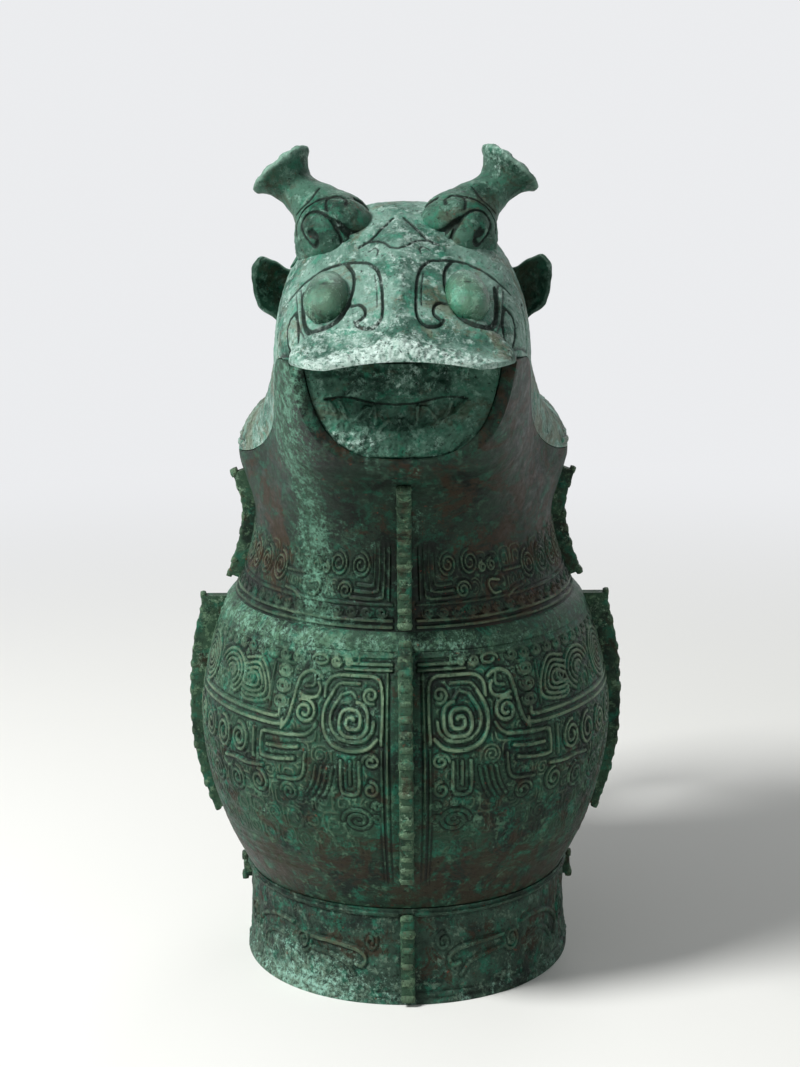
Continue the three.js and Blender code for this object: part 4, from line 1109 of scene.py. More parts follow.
def shapeSnout(outer):
    # the beak that hangs at the tip and the ledge's rounded front
    level = outer[..., 1]
    outer[..., 2] -= 1.3 * bump(outer[..., 0], -1.6, 3.4) * smoothStep(-120, -126.6, level)
    nose = np.clip((-124.6 - level) / 2.4, 0, 1)
    below = underLip(outer[..., 0], 30)
    outer[..., 2] = below + (outer[..., 2] - below) * (1 - 0.62 * (1 - np.sqrt(1 - 0.96 * nose ** 2)))


def lidPiece(name, stations, across, sheet):
    outer = np.array([lidArch(y, across) for y in stations])
    inner = np.array([lidInside(y) for y in stations])
    run = np.array([runOf(row) for row in outer])
    level = outer[..., 1]
    rise = readSheet(sheet, asHeight, run[:, -1:] / 2 - run, level)
    normal = normalsOf(outer, (outer - [0, 0, head["core"]]) * [1, 0, 1])
    edge = smoothStep(0, 2.5, np.minimum(run, run[:, -1:] - run))
    skin = castSkin(outer, 1.3) + 0.3 * (grain(outer, 1.1, 4) - 0.5)
    if sheet is faceSheet:
        crusts = 0.9 * (grain(outer, 2.3, 2) - 0.5) + 0.9 * (grain(outer, 0.9, 5) - 0.5)
        skin = skin + smoothStep(-117, -125, level) * crusts
        shapeSnout(outer)
    outer = outer + normal * (rise + skin * edge)[..., None]
    dress(slab(name, outer, inner, rise, headPatinaAndLightTint), headBronze, "lid", ["lid_shell"])


snoutEnd = -shape["snout"]
headStations = np.concatenate([np.linspace(snoutEnd, snoutEnd + 2, 6)[:-1],
                               np.linspace(snoutEnd + 2, -shape["nape"], head["rows"])])
lidPiece("lid_head", headStations, head["across"], faceSheet)
roofStations = np.concatenate([np.linspace(-shape["nape"], 55, head["roofRows"]),
                               55 + 11.4 * np.sin(np.linspace(0, math.pi / 2, 22))[1:]])
lidPiece("lid_roof", roofStations, head["roofAcross"], roofSheet)
print("lid made")


# Jaw plate with the mouth

jaw = {"recess": 1.2, "thick": 4, "inset": 4.7, "rows": 110, "across": 190, "backColumns": 15, "top": 218.2,
       "mouthHalf": 20.4, "off": -2}
# tone shares for the patina: the teeth take the pale worn tone, partly wear and partly a painted highlight; cut
# lines and the mouth's inside take the dark hollow tone, as painted shade
jawShadeAndHighlight = {"thread": 0.5, "cut": -0.6, "busy": -0.08}


def drawJaw():
    s = newSheet(-40, 40, 184, 222, 0.15)
    xs = columnsOf(s) - jaw["off"]
    zs = rowsOf(s)
    aside = np.abs(xs)
    wide = jaw["mouthHalf"]
    upper = 208.4 - 2.2 * smoothStep(13, 2, aside)
    lower = 206.4 - 8.2 * np.clip(1 - (aside / wide) ** 2, 0, 1) ** 0.8
    inside = smoothStep(0, 1.1, upper - zs) * smoothStep(0, 1.1, zs - lower)
    inside = inside * smoothStep(wide + 0.6, wide - 1, aside)
    keel = 3.2 * np.clip(1 - np.abs(xs - 1) / 20, 0, 1) * smoothStep(205.5, 209.5, zs)
    chin = 1.8 * np.clip(1 - ((zs - lower + 4.4) / 6.5) ** 2, 0, 1) * smoothStep(30, 14, aside)
    # the mouth's inside, kept in the busy layer, is later darkened as painted shade
    s["busy"] = inside.astype(np.float32)
    swellBy(s, -1.1 * inside + chin + keel)
    for hand, side in hands:
        cutLine(s, handed([(21, 207.6), (16, 208.2), (12, 207.8), (7, 206.5), (0, 206)], side, jaw["off"]),
                0.9, 0.5)
        for tooth in ([(16.6, 206.8), (15, 203.4), (12.4, 201.6), (9.2, 204.8), (7.8, 205)],
                      [(6.4, 205.2), (6, 200.4)], [(5.2, 198.6), (2.2, 201.4)], [(19.4, 206.4), (18, 204.4)]):
            draw(s, "thread", smoothLine(handed(tooth, side, jaw["off"])), 1.4, 0.9)
    return s


def jawLightAndShadeTint(p):
    # pale powder on the lower lip's left side and on the keel ridge, as painted light; less round the mouth
    # line, as painted shade
    x, z = p[:, 0], p[:, 2]
    return (0.9 * bump(z, 197, 4) * smoothStep(10, -15, x) - 0.9 * bump(z, 204, 4)
            + 0.5 * bump(x, 0, 5) * smoothStep(205, 212, z))


def jawHalfWidth(z):
    y = lipFace(z) + jaw["recess"]
    share = np.clip(-y / (frontCurve(z) - jaw["inset"]), 0, 1)
    n = squareness(z)
    return (breadth(y, z) - jaw["inset"]) * (1 - share ** n) ** (1 / n)


def makeJaw():
    sheet = drawJaw()
    levels = np.arange(186, 218, 0.05)
    bottom = float(levels[np.argmax(jawHalfWidth(levels) > 1.0)])
    z = bottom + (jaw["top"] - bottom) * np.linspace(0, 1, jaw["rows"]) ** 1.5
    across = np.linspace(-1, 1, jaw["across"])
    x = jawHalfWidth(z)[:, None] * across[None, :]
    level = np.broadcast_to(z[:, None], x.shape)
    edge = smoothStep(0, 0.06, 1 - np.abs(across))[None, :] * smoothStep(0, 1.2, level - bottom)
    y = lipFace(level) + jaw["recess"]
    points = np.stack([x, y, level], axis=-1)
    skin = castSkin(points, 1.6) + 1.1 * (grain(points, 1.7, 3) - 0.5) + 0.6 * (grain(points, 0.8, 1) - 0.5)
    rise = readSheet(sheet, asHeight, x, level) + skin
    few = np.round(np.linspace(0, jaw["across"] - 1, jaw["backColumns"])).astype(int)
    back = points[:, few] + [0, jaw["thick"], 0]
    made = slab("lid_jaw_plate", points - [0, 1, 0] * (rise * edge)[..., None], back,
                readSheet(sheet, jawShadeAndHighlight, x, level) * edge, jawLightAndShadeTint)
    # the jaw plate takes the darker horn patina: painted shade under the snout's ledge
    dress(made, hornBronze, "lid", ["lid_jaw"])


makeJaw()
print("jaw made")


# Floor of the vessel, a plain plate inside the wall

def makeFloor():
    turn = np.linspace(0, 2 * math.pi, 120, endpoint=False)
    low = outside(turn, shape["foot"] + 0.05, shape["wall"] + 1)
    high = outside(turn, shape["foot"] + shape["floor"], shape["wall"] + 1)
    rings = [low * [s, s, 1] for s in (0.3, 0.6, 1)] + [high * [s, s, 1] for s in (1, 0.6, 0.3)]
    points, quads, triangles = tube(np.array(rings))
    made = meshFrom("floor_plate", points, quads, triangles, np.zeros(len(points)))
    dress(made, insideBronze, "vessel", ["vessel_shell"])


makeFloor()


# Horns: bottle shaped, with a comma lobe and a curl on the front of the root

horn = {
    "path": [(16.6, -68.5, 242), (18.6, -69.5, 252), (23.6, -65.8, 259.6), (30.2, -61.2, 265.4),
             (35.7, -58.8, 272)],
    "radii": [(0, 12.2), (0.24, 13.2), (0.36, 12.4), (0.54, 8.6), (0.7, 6.5), (0.78, 6.2), (0.87, 7.3),
              (0.93, 9.0), (0.96, 10.4), (0.985, 10.9), (1, 10.5)],
    "thorn": [(25, -68, 247), (29.4, -70, 245.8), (32.4, -71, 242.6)],
    "shift": -1.6, "around": 150, "steps": 170, "thornSteps": 14, "lobe": (-9.6, 12.2), "lobeTilt": 10,
}


def drawHorn():
    # across: distance round the horn from its front line; up: distance along its axis
    s = newSheet(-38, 38, -2, 44, 0.2)
    xs, ys = columnsOf(s), rowsOf(s)
    lobeX, lobeY = horn["lobe"]
    c, n = math.cos(math.radians(horn["lobeTilt"])), math.sin(math.radians(horn["lobeTilt"]))
    px = (xs - lobeX) * c + (ys - lobeY) * n
    py = -(xs - lobeX) * n + (ys - lobeY) * c
    lobe = np.clip(1 - (px / 7.2) ** 2 - (py / (2.7 + 0.09 * px)) ** 2, 0, 1) ** 0.5
    curl = np.clip(1 - ((xs - 3) / 5.0) ** 2 - ((ys - 11.4) / 4.8) ** 2, 0, 1) ** 0.8
    swellBy(s, np.maximum(1.2 * lobe, 1.3 * curl))

    def turned(points):
        return [(x * c - y * n + lobeX, x * n + y * c + lobeY) for x, y in points]
    cutLine(s, turned([(7.6, -1.4), (4, -3.3), (0, -3.5), (-5, -2.7), (-7.8, -0.4), (-7.2, 1.8),
                       (-4, 3)]), 1.5, 1.2)
    cutLine(s, turned([(7.4, 0.8), (5.6, 3.6), (1.6, 3.9), (0.6, 2.2), (1.8, 1)]), 0.8, 0.6)
    cutLine(s, [(-1.6, 6.2), (-2, 10.4), (-0.6, 14.6), (3, 16.6), (6.8, 15.2), (8, 12), (6.6, 9.6),
                (4.4, 10.2), (4.2, 12.2)],
            0.9, 0.8)
    draw(s, "cut", [(4.4, 11.2), (5.4, 11.8)], 1.9, 0.9)
    cutLine(s, [(-7, 16.6), (-2, 18.6), (3, 19.4), (8, 18), (11, 14.6)], 0.9, 0.6)
    cutLine(s, [(-13, 5), (-8, 7.6), (-3, 8.4), (-0.6, 6)], 0.9, 0.6)
    cutLine(s, [(-6, 22), (0, 20.6), (6, 21.4)], 0.7, 0.4)
    for step in range(3):
        for hand, side in hands:
            cutLine(s, [(side * (17 + 4 * step), 18 - step), (side * (19 + 4 * step), 11),
                        (side * (18 + 4 * step), 3)], 0.9, 0.5)
    return s


hornSheet = drawHorn()


def hornTint(p):
    return 0.9 * smoothStep(271, 279, p[:, 2]) - 0.5 * bump(p[:, 2], 262, 7)


def hornDisc(edge, middle, axis):
    # rings over the crusted, slightly hollow face of the disc, and their tone
    rings, tones = [], []
    for s in np.linspace(1, 0.05, 16)[1:]:
        ring = middle + (edge - middle) * s
        crumbs = 0.8 * (grain(ring, 2.1, 6) - 0.5) + 0.6 * (grain(ring, 0.9, 8) - 0.5)
        rings.append(ring + axis * (0.5 - 1.3 * (1 - s) ** 0.8 + crumbs)[:, None])
        tones.append(0.6 * smoothStep(0.5, 1, s) * np.ones(len(ring)))
    return np.array(rings), np.array(tones)


def makeHorn(hand, side):
    path = alongArc(smoothLine(horn["path"], 0.4), horn["steps"])
    tangent = unitOf(np.gradient(path, axis=0))
    forwards = np.array([0, -1.0, 0])
    front = unitOf(forwards - tangent * (tangent @ forwards)[:, None])
    run = runOf(path)
    share = run / run[-1]
    radius = through(horn["radii"])(share)
    turn = np.linspace(-math.pi, math.pi, horn["around"], endpoint=False)
    rings = ringsAlong(path, front, np.cross(tangent, front), turn, radius)
    around = turn[None, :] * radius[:, None]
    up = run[:, None]
    rim = smoothStep(0.9, 0.97, share)[:, None]
    ragged = rim * (0.7 * (grain(rings, 3.8, 4) - 0.5) + 0.6 * (grain(rings, 1.6, 6) - 0.5))
    ragged = ragged + castSkin(rings, 1.3) + 0.3 * (grain(rings, 1.2, 8) - 0.5)
    rise = readSheet(hornSheet, asHeight, around, up) + ragged
    rings = rings + unitOf(rings - path[:, None, :]) * rise[..., None]
    disc, discTone = hornDisc(rings[-1], path[-1], tangent[-1])
    # cut lines take the dark hollow tone, as painted shade; the disc's rim and outer face take the pale worn
    # tone, partly wear and partly a painted highlight
    tone = readSheet(hornSheet, {"cut": -1}, around, up) + 0.8 * smoothStep(0.95, 0.985, share)[:, None]
    mirror, shift = [side, 1, 1], [horn["shift"], 0, 0]
    points, quads, triangles = tube(np.concatenate([rings, disc]) * mirror)
    parts = [(points + shift, quads, triangles, tubeValues(np.concatenate([tone, discTone])))]
    # small thorn behind the root
    steps = horn["thornSteps"]
    thorn = alongArc(smoothLine(horn["thorn"], 0.4), steps)
    turn = np.linspace(0, 2 * math.pi, steps, endpoint=False)
    width = np.linspace(3.0, 0.35, steps)[:, None]
    rings = np.stack([np.repeat(thorn[:, :1], steps, 1), thorn[:, 1:2] + width * np.cos(turn) * 0.7,
                      thorn[:, 2:3] + width * np.sin(turn)], axis=-1)
    points, quads, triangles = tube(rings * mirror)
    parts.append((points + shift, quads, triangles, np.full(len(points), 0.1)))
    made = joined(f"horn_{hand}_bronze", parts, 60, hornTint)
    dress(made, hornBronze, "lid", [f"{hand}_horn"])


for hand, side in hands:
    makeHorn(hand, side)
print("horns made")


# Ears: leaves that open forwards, with a thin ragged rim

ear = {
    "outline": [(29, 238.6), (35.6, 240.6), (40, 243.2), (43.8, 244.2), (46, 241.4), (46.6, 235), (44.6, 229),
                (39.4, 224.6), (34, 222.6), (29, 224)],
    "middle": (35.6, 233.2), "reach": 54, "cup": 5.5, "thick": 1.5, "around": 130, "steps": 22, "rimSteps": 8,
}


def earTint(p):
    return 1.6 * smoothStep(-54, -56.4, p[:, 1]) - 1.2 * bump(p[:, 1], -50, 3)


def makeEar(hand, side):
    loop = alongArc(smoothLine(ear["outline"] + ear["outline"][:1], 0.5), ear["around"] + 1)[:-1]
    share = np.concatenate([np.linspace(0, 0.8, ear["steps"] - ear["rimSteps"]),
                            np.linspace(0.84, 1, ear["rimSteps"])])[1:]
    outline = np.stack([loop[:, 0], np.zeros(len(loop)), loop[:, 1]], axis=1)
    ragged = smoothStep(33, 37, loop[:, 0]) * 1.3 * (grain(outline, 2.6, 7) - 0.5)
    layers = []
    for hollow, order in ((True, share), (False, share[::-1])):
        for s in order:
            flat = ear["middle"] + (loop - ear["middle"]) * (s * (1 + ragged[:, None] / 12))
            rolled = 0.8 * smoothStep(0.8, 0.98, s)
            back = ear["thick"] * (1 - 0.55 * s ** 4)
            y = -ear["reach"] + ear["cup"] * (1 - s ** 2.4) - (rolled if hollow else -back)
            y = y + 0.5 * (grain(outline * s, 2, 3) - 0.5) - 2.4 * smoothStep(36, 46, flat[:, 0])
            layers.append(np.stack([flat[:, 0], y, flat[:, 1]], axis=1))
    points, quads, triangles = tube(np.array(layers) * [side, 1, 1])
    edge = 1.5 * smoothStep(0.86, 1, np.concatenate([share, share[::-1]]))
    made = meshFrom(f"ear_{hand}_bronze", points, quads, triangles, tubeValues(np.repeat(edge, len(loop))), 50,
                    earTint)
    dress(made, hornBronze, "lid", [f"{hand}_ear"])


for hand, side in hands:
    makeEar(hand, side)


# Eyes: tall eggs that lean outwards, with a small dent for the pupil

eye = {"spread": 20.6, "reach": 101.6, "halfWidth": 6.5, "halfLength": 9.6, "bulge": 6.2, "lean": 10, "tip": 4,
       "shift": -1.6, "raised": 0.6, "tint": -0.5}


def makeEye(hand, side):
    y = -eye["reach"]
    slope = math.atan2(float(ridgeLine(y + 6)) - float(ridgeLine(y - 6)), 12)
    base = float(mouthEdge(y))
    share = eye["spread"] / float(lidHalfWidth(y))
    lift = (1 - share ** 2.6) ** (1 / 2.6)
    level = base + (float(ridgeLine(y)) - base) * lift - shape["faceFall"] * share * lift
    c, s = math.cos(slope), math.sin(slope)
    tip = math.radians(eye["tip"]) * side
    tipped = np.array([[math.cos(tip), 0, -math.sin(tip)], [0, 1, 0], [math.sin(tip), 0, math.cos(tip)]])
    axes = tipped @ np.array([[1, 0, 0], [0, c, s], [0, -s, c]])
    unit, quads, triangles = ball(96, 60)
    up = power(unit[:, 2], 0.94)
    wide = np.sqrt(np.maximum(0, 1 - np.abs(up) ** 2.1)) / np.maximum(np.hypot(unit[:, 0], unit[:, 1]), 1e-6)
    egg = 1 - 0.1 * unit[:, 1]
    local = np.stack([unit[:, 0] * wide * eye["halfWidth"] * egg, unit[:, 1] * wide * eye["halfLength"],
                      up * eye["bulge"]], axis=1)
    turn = math.radians(eye["lean"]) * side
    local = local @ np.array([[math.cos(turn), math.sin(turn), 0], [-math.sin(turn), math.cos(turn), 0],
                              [0, 0, 1]])
    dent = bump(local[:, 0], 0, 1.3) * bump(local[:, 1], 0, 0.6) * (local[:, 2] > 0)
    points = local @ axes + (castSkin(unit * 8 + 200) - 0.4 * dent)[:, None] * (unit @ axes)
    points = points + [eye["spread"] * side + eye["shift"], y, level + eye["raised"]]
    # the top of the eye takes the pale worn tone, as a painted highlight; the pupil's dent takes the dark
    # hollow tone, as painted shade
    tone = 0.1 + 0.6 * smoothStep(239, 247, points[:, 2]) - 0.6 * dent
    made = meshFrom(f"eye_{hand}_bronze", points, quads, triangles, tone, 60,
                    lambda p: np.full(len(p), eye["tint"]))
    dress(made, eyeBronze, "lid", [f"{hand}_eye"])


for hand, side in hands:
    makeEye(hand, side)
print("ears and eyes made")


# Scored flanges and the crest: one tree sweeps the plate along its edge and sets the bars

flange = {"thick": 5, "pitch": 4.6, "bar": 2.9, "barDepth": 2.6, "score": 0.5, "rough": 1.0,
          "samples": 60, "sharpAngle": 80}


def scoredTree():
    tree = bpy.data.node_groups.new("scored_flange", "GeometryNodeTree")
    n = Nodes(tree)
    sockets = {}
    labels = ("Pitch", "Bar Length", "Bar Depth", "Thickness", "Plate Depth", "Score", "Roughness")
    for label, kind in [("Edge", "Geometry"), *((label, "Float") for label in labels), ("Finish", "Material")]:
        made = tree.interface.new_socket(label, in_out="INPUT", socket_type=f"NodeSocket{kind}")
        sockets[label] = made.identifier
    tree.interface.new_socket("Flange", in_out="OUTPUT", socket_type="NodeSocketGeometry")
    given = n.add("NodeGroupInput").outputs

    def moved(geometry, way, share):
        return n.add("GeometryNodeSetPosition", Geometry=geometry, Offset=n.scaled(way, share)).outputs[0]

    def marked(geometry, relief):
        return n.add("GeometryNodeStoreNamedAttribute", {"data_type": "FLOAT", "domain": "POINT"},
                     Geometry=geometry, Name="relief", Value=relief).outputs["Geometry"]

    def spaced(length):
        return n.add("GeometryNodeResampleCurve", {"mode": "LENGTH"}, Curve=line, Length=length).outputs[0]

    line = n.add("GeometryNodeMeshToCurve", Mesh=given["Edge"]).outputs["Curve"]
    facing = n.add("GeometryNodeInputNamedAttribute", {"data_type": "FLOAT_VECTOR"}, Name="facing")
    facing = facing.outputs["Attribute"]
    # plate
    inwards = n.sum(n.arithmetic("MULTIPLY", given["Score"], -1), given["Plate Depth"], -0.5)
    aimed = n.add("GeometryNodeSetCurveNormal", {"mode": "FREE"}, Curve=moved(spaced(0.001), facing, inwards),
                  Normal=facing).outputs["Curve"]
    section = n.add("GeometryNodeCurvePrimitiveQuadrilateral", Width=given["Plate Depth"],
                    Height=n.arithmetic("MULTIPLY", given["Thickness"], 0.9)).outputs["Curve"]
    rounded = n.add("GeometryNodeFilletCurve", {"mode": "POLY"}, Curve=section, Count=3, Radius=0.0009)
    plate = n.add("GeometryNodeCurveToMesh", Curve=aimed, Profile_Curve=rounded.outputs["Curve"],
                  Fill_Caps=True)
    # bars
    cube = n.add("GeometryNodeMeshCube", Size=(1, 1, 1)).outputs["Mesh"]
    bar = n.add("GeometryNodeSubdivisionSurface", Mesh=cube, Level=1, Edge_Crease=0.45).outputs["Mesh"]
    sunk = moved(spaced(given["Pitch"]), facing, n.arithmetic("MULTIPLY", given["Bar Depth"], -0.5))
    turned = n.add("FunctionNodeAxesToRotation", {"primary_axis": "Z", "secondary_axis": "X"},
                   Primary_Axis=n.add("GeometryNodeInputTangent").outputs[0], Secondary_Axis=facing)
    loose = n.add("FunctionNodeRandomValue", {"data_type": "FLOAT"}, i2=0.8, i3=1.08, Seed=7)
    size = n.add("ShaderNodeCombineXYZ", X=given["Bar Depth"], Y=given["Thickness"], Z=given["Bar Length"])
    bars = n.add("GeometryNodeInstanceOnPoints", Points=sunk, Instance=bar, Rotation=turned.outputs["Rotation"],
                 Scale=n.scaled(size.outputs[0], loose.outputs[1])).outputs["Instances"]
    bars = n.add("GeometryNodeRealizeInstances", Geometry=bars).outputs["Geometry"]
    both = n.add("GeometryNodeJoinGeometry")
    # the bars are marked a little towards the pale worn tone, partly wear and partly a painted highlight; the
    # plate is marked towards the dark hollow tone, as painted shade between the bars
    tree.links.new(marked(plate.outputs["Mesh"], -0.08), both.inputs[0])
    tree.links.new(marked(bars, 0.3), both.inputs[0])
    # uneven casting
    place = n.add("GeometryNodeInputPosition").outputs[0]
    cloud = n.add("ShaderNodeTexNoise", Vector=place, Scale=420.0, Detail=2.0).outputs["Fac"]
    push = n.arithmetic("MULTIPLY", n.arithmetic("SUBTRACT", cloud, 0.5), given["Roughness"])
    worn = moved(both.outputs[0], n.add("GeometryNodeInputNormal").outputs[0], push)
    smooth = n.add("GeometryNodeSetShadeSmooth", Geometry=worn).outputs[0]
    whole = n.add("GeometryNodeRealizeInstances", Geometry=smooth).outputs["Geometry"]
    done = n.add("GeometryNodeSetMaterial", Geometry=whole, Material=given["Finish"]).outputs["Geometry"]
    n.add("NodeGroupOutput", i0=done)
    return tree, sockets


scoredFlange, flangeSockets = scoredTree()


def makeFlanges(name, body, replaced, edges, plateDepth, **settings):
    # edges: lines of points with the way that each faces
    size = {**flange, **settings}
    points, facing, wires = [], [], []
    for line, way in edges:
        wires += [(len(points) + i, len(points) + i + 1) for i in range(len(line) - 1)]
        points += [tuple(c * mm for c in p) for p in line]
        facing += list(way)
    mesh = bpy.data.meshes.new(f"{name}_edge")
    mesh.from_pydata(points, wires, [])
    layer = mesh.attributes.new("facing", "FLOAT_VECTOR", "POINT")
    layer.data.foreach_set("vector", np.asarray(facing, np.float32).ravel())
    holder = placed(f"{name}_edge", mesh)
    modifier = holder.modifiers.new("scored", "NODES")
    modifier.node_group = scoredFlange
    values = {"Pitch": size["pitch"], "Bar Length": size["bar"], "Bar Depth": size["barDepth"],
              "Thickness": size["thick"], "Plate Depth": plateDepth, "Score": size["score"],
              "Roughness": size["rough"]}
    for label, value in values.items():
        modifier[flangeSockets[label]] = value * mm
    modifier[flangeSockets["Finish"]] = flangeBronze
    bpy.context.view_layer.update()
    plain = bpy.data.meshes.new_from_object(holder.evaluated_get(bpy.context.evaluated_depsgraph_get()))
    plain.name = name
    bpy.data.objects.remove(holder)
    plain.set_sharp_from_angle(angle=math.radians(flange["sharpAngle"]))
    dress(placed(name, plain), flangeBronze, body, replaced)


ways = {"front": (0, -1), "right": (1, 0), "rear": (0, 1), "left": (-1, 0)}


def edgeAlong(way, low, high, reach, depth, upright=999):
    # above the upright level the edge stands straight up
    z = np.linspace(low, high, flange["samples"])
    level = np.minimum(z, upright)
    out = reach(level) + (depth(level) if callable(depth) else depth)
    dx, dy = ways[way]
    rise = np.gradient(out, z)
    slant = 1 / np.hypot(1, rise)
    line = np.stack([dx * out, dy * out, z], axis=1)
    return line, np.stack([dx * slant, dy * slant, -rise * slant], axis=1)


def bellyDepth(z):
    return 5 + 2.6 * smoothStep(84, 119.5, z)


def frontSkin(z):
    return frontCurve(z) + proud(z)


def flankSkin(z):
    return flankCurve(z) + proud(z)


def rearSkin(z):
    return rearCurve(z) + proud(z)


makeFlanges("belly_flanges", "vessel",
            ["front_belly_flange", "right_belly_flange", "rear_belly_flange", "left_belly_flange"],
            [edgeAlong("front", 46, 124.6, frontSkin, bellyDepth),
             edgeAlong("right", 47.4, 123.4, flankSkin, bellyDepth, 119),
             edgeAlong("rear", 46, 60, rearSkin, bellyDepth),
             edgeAlong("left", 47.4, 123.4, flankSkin, bellyDepth, 119)], 9.6)
makeFlanges("neck_flanges", "vessel", ["front_neck_flange", "right_neck_flange", "left_neck_flange"],
            [edgeAlong("front", 129.4, 176.6, frontSkin, 5.2), edgeAlong("right", 131.6, 165.4, flankSkin, 5.2),
             edgeAlong("left", 131.6, 165.4, flankSkin, 5.2)], 7.0)
makeFlanges("foot_flanges", "vessel",
            ["front_foot_flange", "rear_foot_flange", "right_foot_flange", "left_foot_flange"],
            [edgeAlong("front", 2.8, 30, footLength, 3.6), edgeAlong("rear", 2.8, 30, footLength, 3.6),
             edgeAlong("right", 23, 30, footWidth, 3.6), edgeAlong("left", 23, 30, footWidth, 3.6)],
            5.4, score=0.8)


def crestEdge():
    y = np.linspace(-4.4, 48, flange["samples"])
    rounding = roofRounding(y)
    z = ridgeLine(y) * rounding + mouthEdge(y) * (1 - rounding) + 4
    rise = np.gradient(z, y)
    slant = 1 / np.hypot(1, rise)
    return np.stack([0 * y, y, z], axis=1), np.stack([0 * y, -rise * slant, slant], axis=1)


makeFlanges("lid_crest_bronze", "lid", ["lid_crest"], [crestEdge()], 5.2, thick=4, score=0.9)
print("flanges and crest made")


# Handle: a ribbed loop, the beast's head on it and the spur below

handle = {"root": 54, "reach": 127, "top": 152, "bottom": 70, "width": 15, "depth": 10, "steps": 190,
          "around": 110}
beast = {"start": 58, "length": 40, "level": 165, "fall": 5, "steps": 120, "around": 110}
spur = {"middle": 111, "half": 41, "reach": 68, "turn": 0.62, "around": 160}


def handleLine():
    middle, half = (handle["top"] + handle["bottom"]) / 2, (handle["top"] - handle["bottom"]) / 2
    turn = np.linspace(math.pi / 2, -math.pi / 2, 400)
    reach = handle["reach"] - handle["depth"] / 2 - handle["root"]
    y = handle["root"] + reach * np.maximum(np.cos(turn), 0) ** 0.75
    z = middle + half * power(np.sin(turn), 0.9)
    keep = y > rearCurve(z) - 2.6
    return alongArc(np.stack([0 * y[keep], y[keep], z[keep]], axis=1), handle["steps"])


def drawLoop():
    # scales down the back of the loop between two edge lines
    s = newSheet(-26, 26, -4, 190, 0.2)
    for hand, side in hands:
        thread(s, [(side * 8.4, 0), (side * 8.4, 186)], 1.1, 0.5)
        thread(s, [(side * 14, 0), (side * 14, 186)], 1.0, 0.4)
    for at in np.arange(8, 182, 7.5):
        for inset, tall in ((0, 1.1), (2, 0.95)):
            thread(s, [(-6.6 + inset, at + 3.6), (-5.2 + inset * 0.7, at - 0.6 + inset),
                       (0, at - 3.2 * tall + inset), (5.2 - inset * 0.7, at - 0.6 + inset),
                       (6.6 - inset, at + 3.6)], 1.0, 0.45)
        for hand, side in hands:
            thread(s, spiral(side * 11.2, at, 2.0, 0.6, 1.3, 90, 1.1), 0.8, 0.35)
    return s


def makeLoop():
    path = handleLine()
    tangent = unitOf(np.gradient(path, axis=0))
    out = np.stack([0 * tangent[:, 0], -tangent[:, 2], tangent[:, 1]], axis=1)
    turn = np.linspace(-math.pi, math.pi, handle["around"], endpoint=False)
    across = handle["width"] / 2 * power(np.sin(turn), 0.7)
    depth = handle["depth"] / 2 * power(np.cos(turn), 0.7)
    around = runOf(np.stack([across, depth], axis=1))
    around = around - np.interp(0, turn, around)
    rings = path[:, None, :] + across[None, :, None] * [1, 0, 0] + depth[None, :, None] * out[:, None, :]
    rise = readSheet(drawLoop(), asHeight, around[None, :], runOf(path)[:, None])
    rings = rings + unitOf(rings - path[:, None, :]) * (rise + castSkin(rings, 1.2))[..., None]
    made = meshFrom("handle_loop_bronze", *tube(rings), tubeValues(rise))
    dress(made, bodyBronze, "vessel", ["handle_loop"])


makeLoop()


def rodAlong(points, radii, around=28, count=60, flat=1.0):
    path = alongArc(smoothLine(points, 0.3), count)
    tangent = unitOf(np.gradient(path, axis=0))
    side = unitOf(np.cross(tangent, [0, 1.0, 0.02]))
    turn = np.linspace(0, 2 * math.pi, around, endpoint=False)
    radius = through(radii)(np.linspace(0, 1, count))
    return ringsAlong(path, side, np.cross(tangent, side), turn, radius, flat)


def drawBeast():
    # across the sheet: degrees from the top line over 4; up the sheet: along the head
    s = newSheet(-50, 50, -2, 44, 0.2)
    for hand, side in hands:
        thread(s, handed([(3, 10), (8, 14), (14, 20), (17, 27)], side), 2.6, 1.0)
        cutLine(s, handed([(8, 18), (12, 23), (13, 28), (8, 28), (5, 24), (8, 18)], side), 1.2, 0.8)
        cutLine(s, handed([(26, 38), (27, 30), (30, 22), (32, 16)], side), 1.6, 1.3)
        cutLine(s, spiral(side * 7, 36, 3.0, 0.7, 1.2 * side, 90, 0.9), 1.1, 0.9)
        thread(s, spiral(side * 22, 10, 4.2, 0.9, 1.7 * side, 0, 1.0), 1.1, 0.5)
        thread(s, handed([(2, 30), (2.6, 36), (2, 39)], side), 1.0, 0.5)
    return s


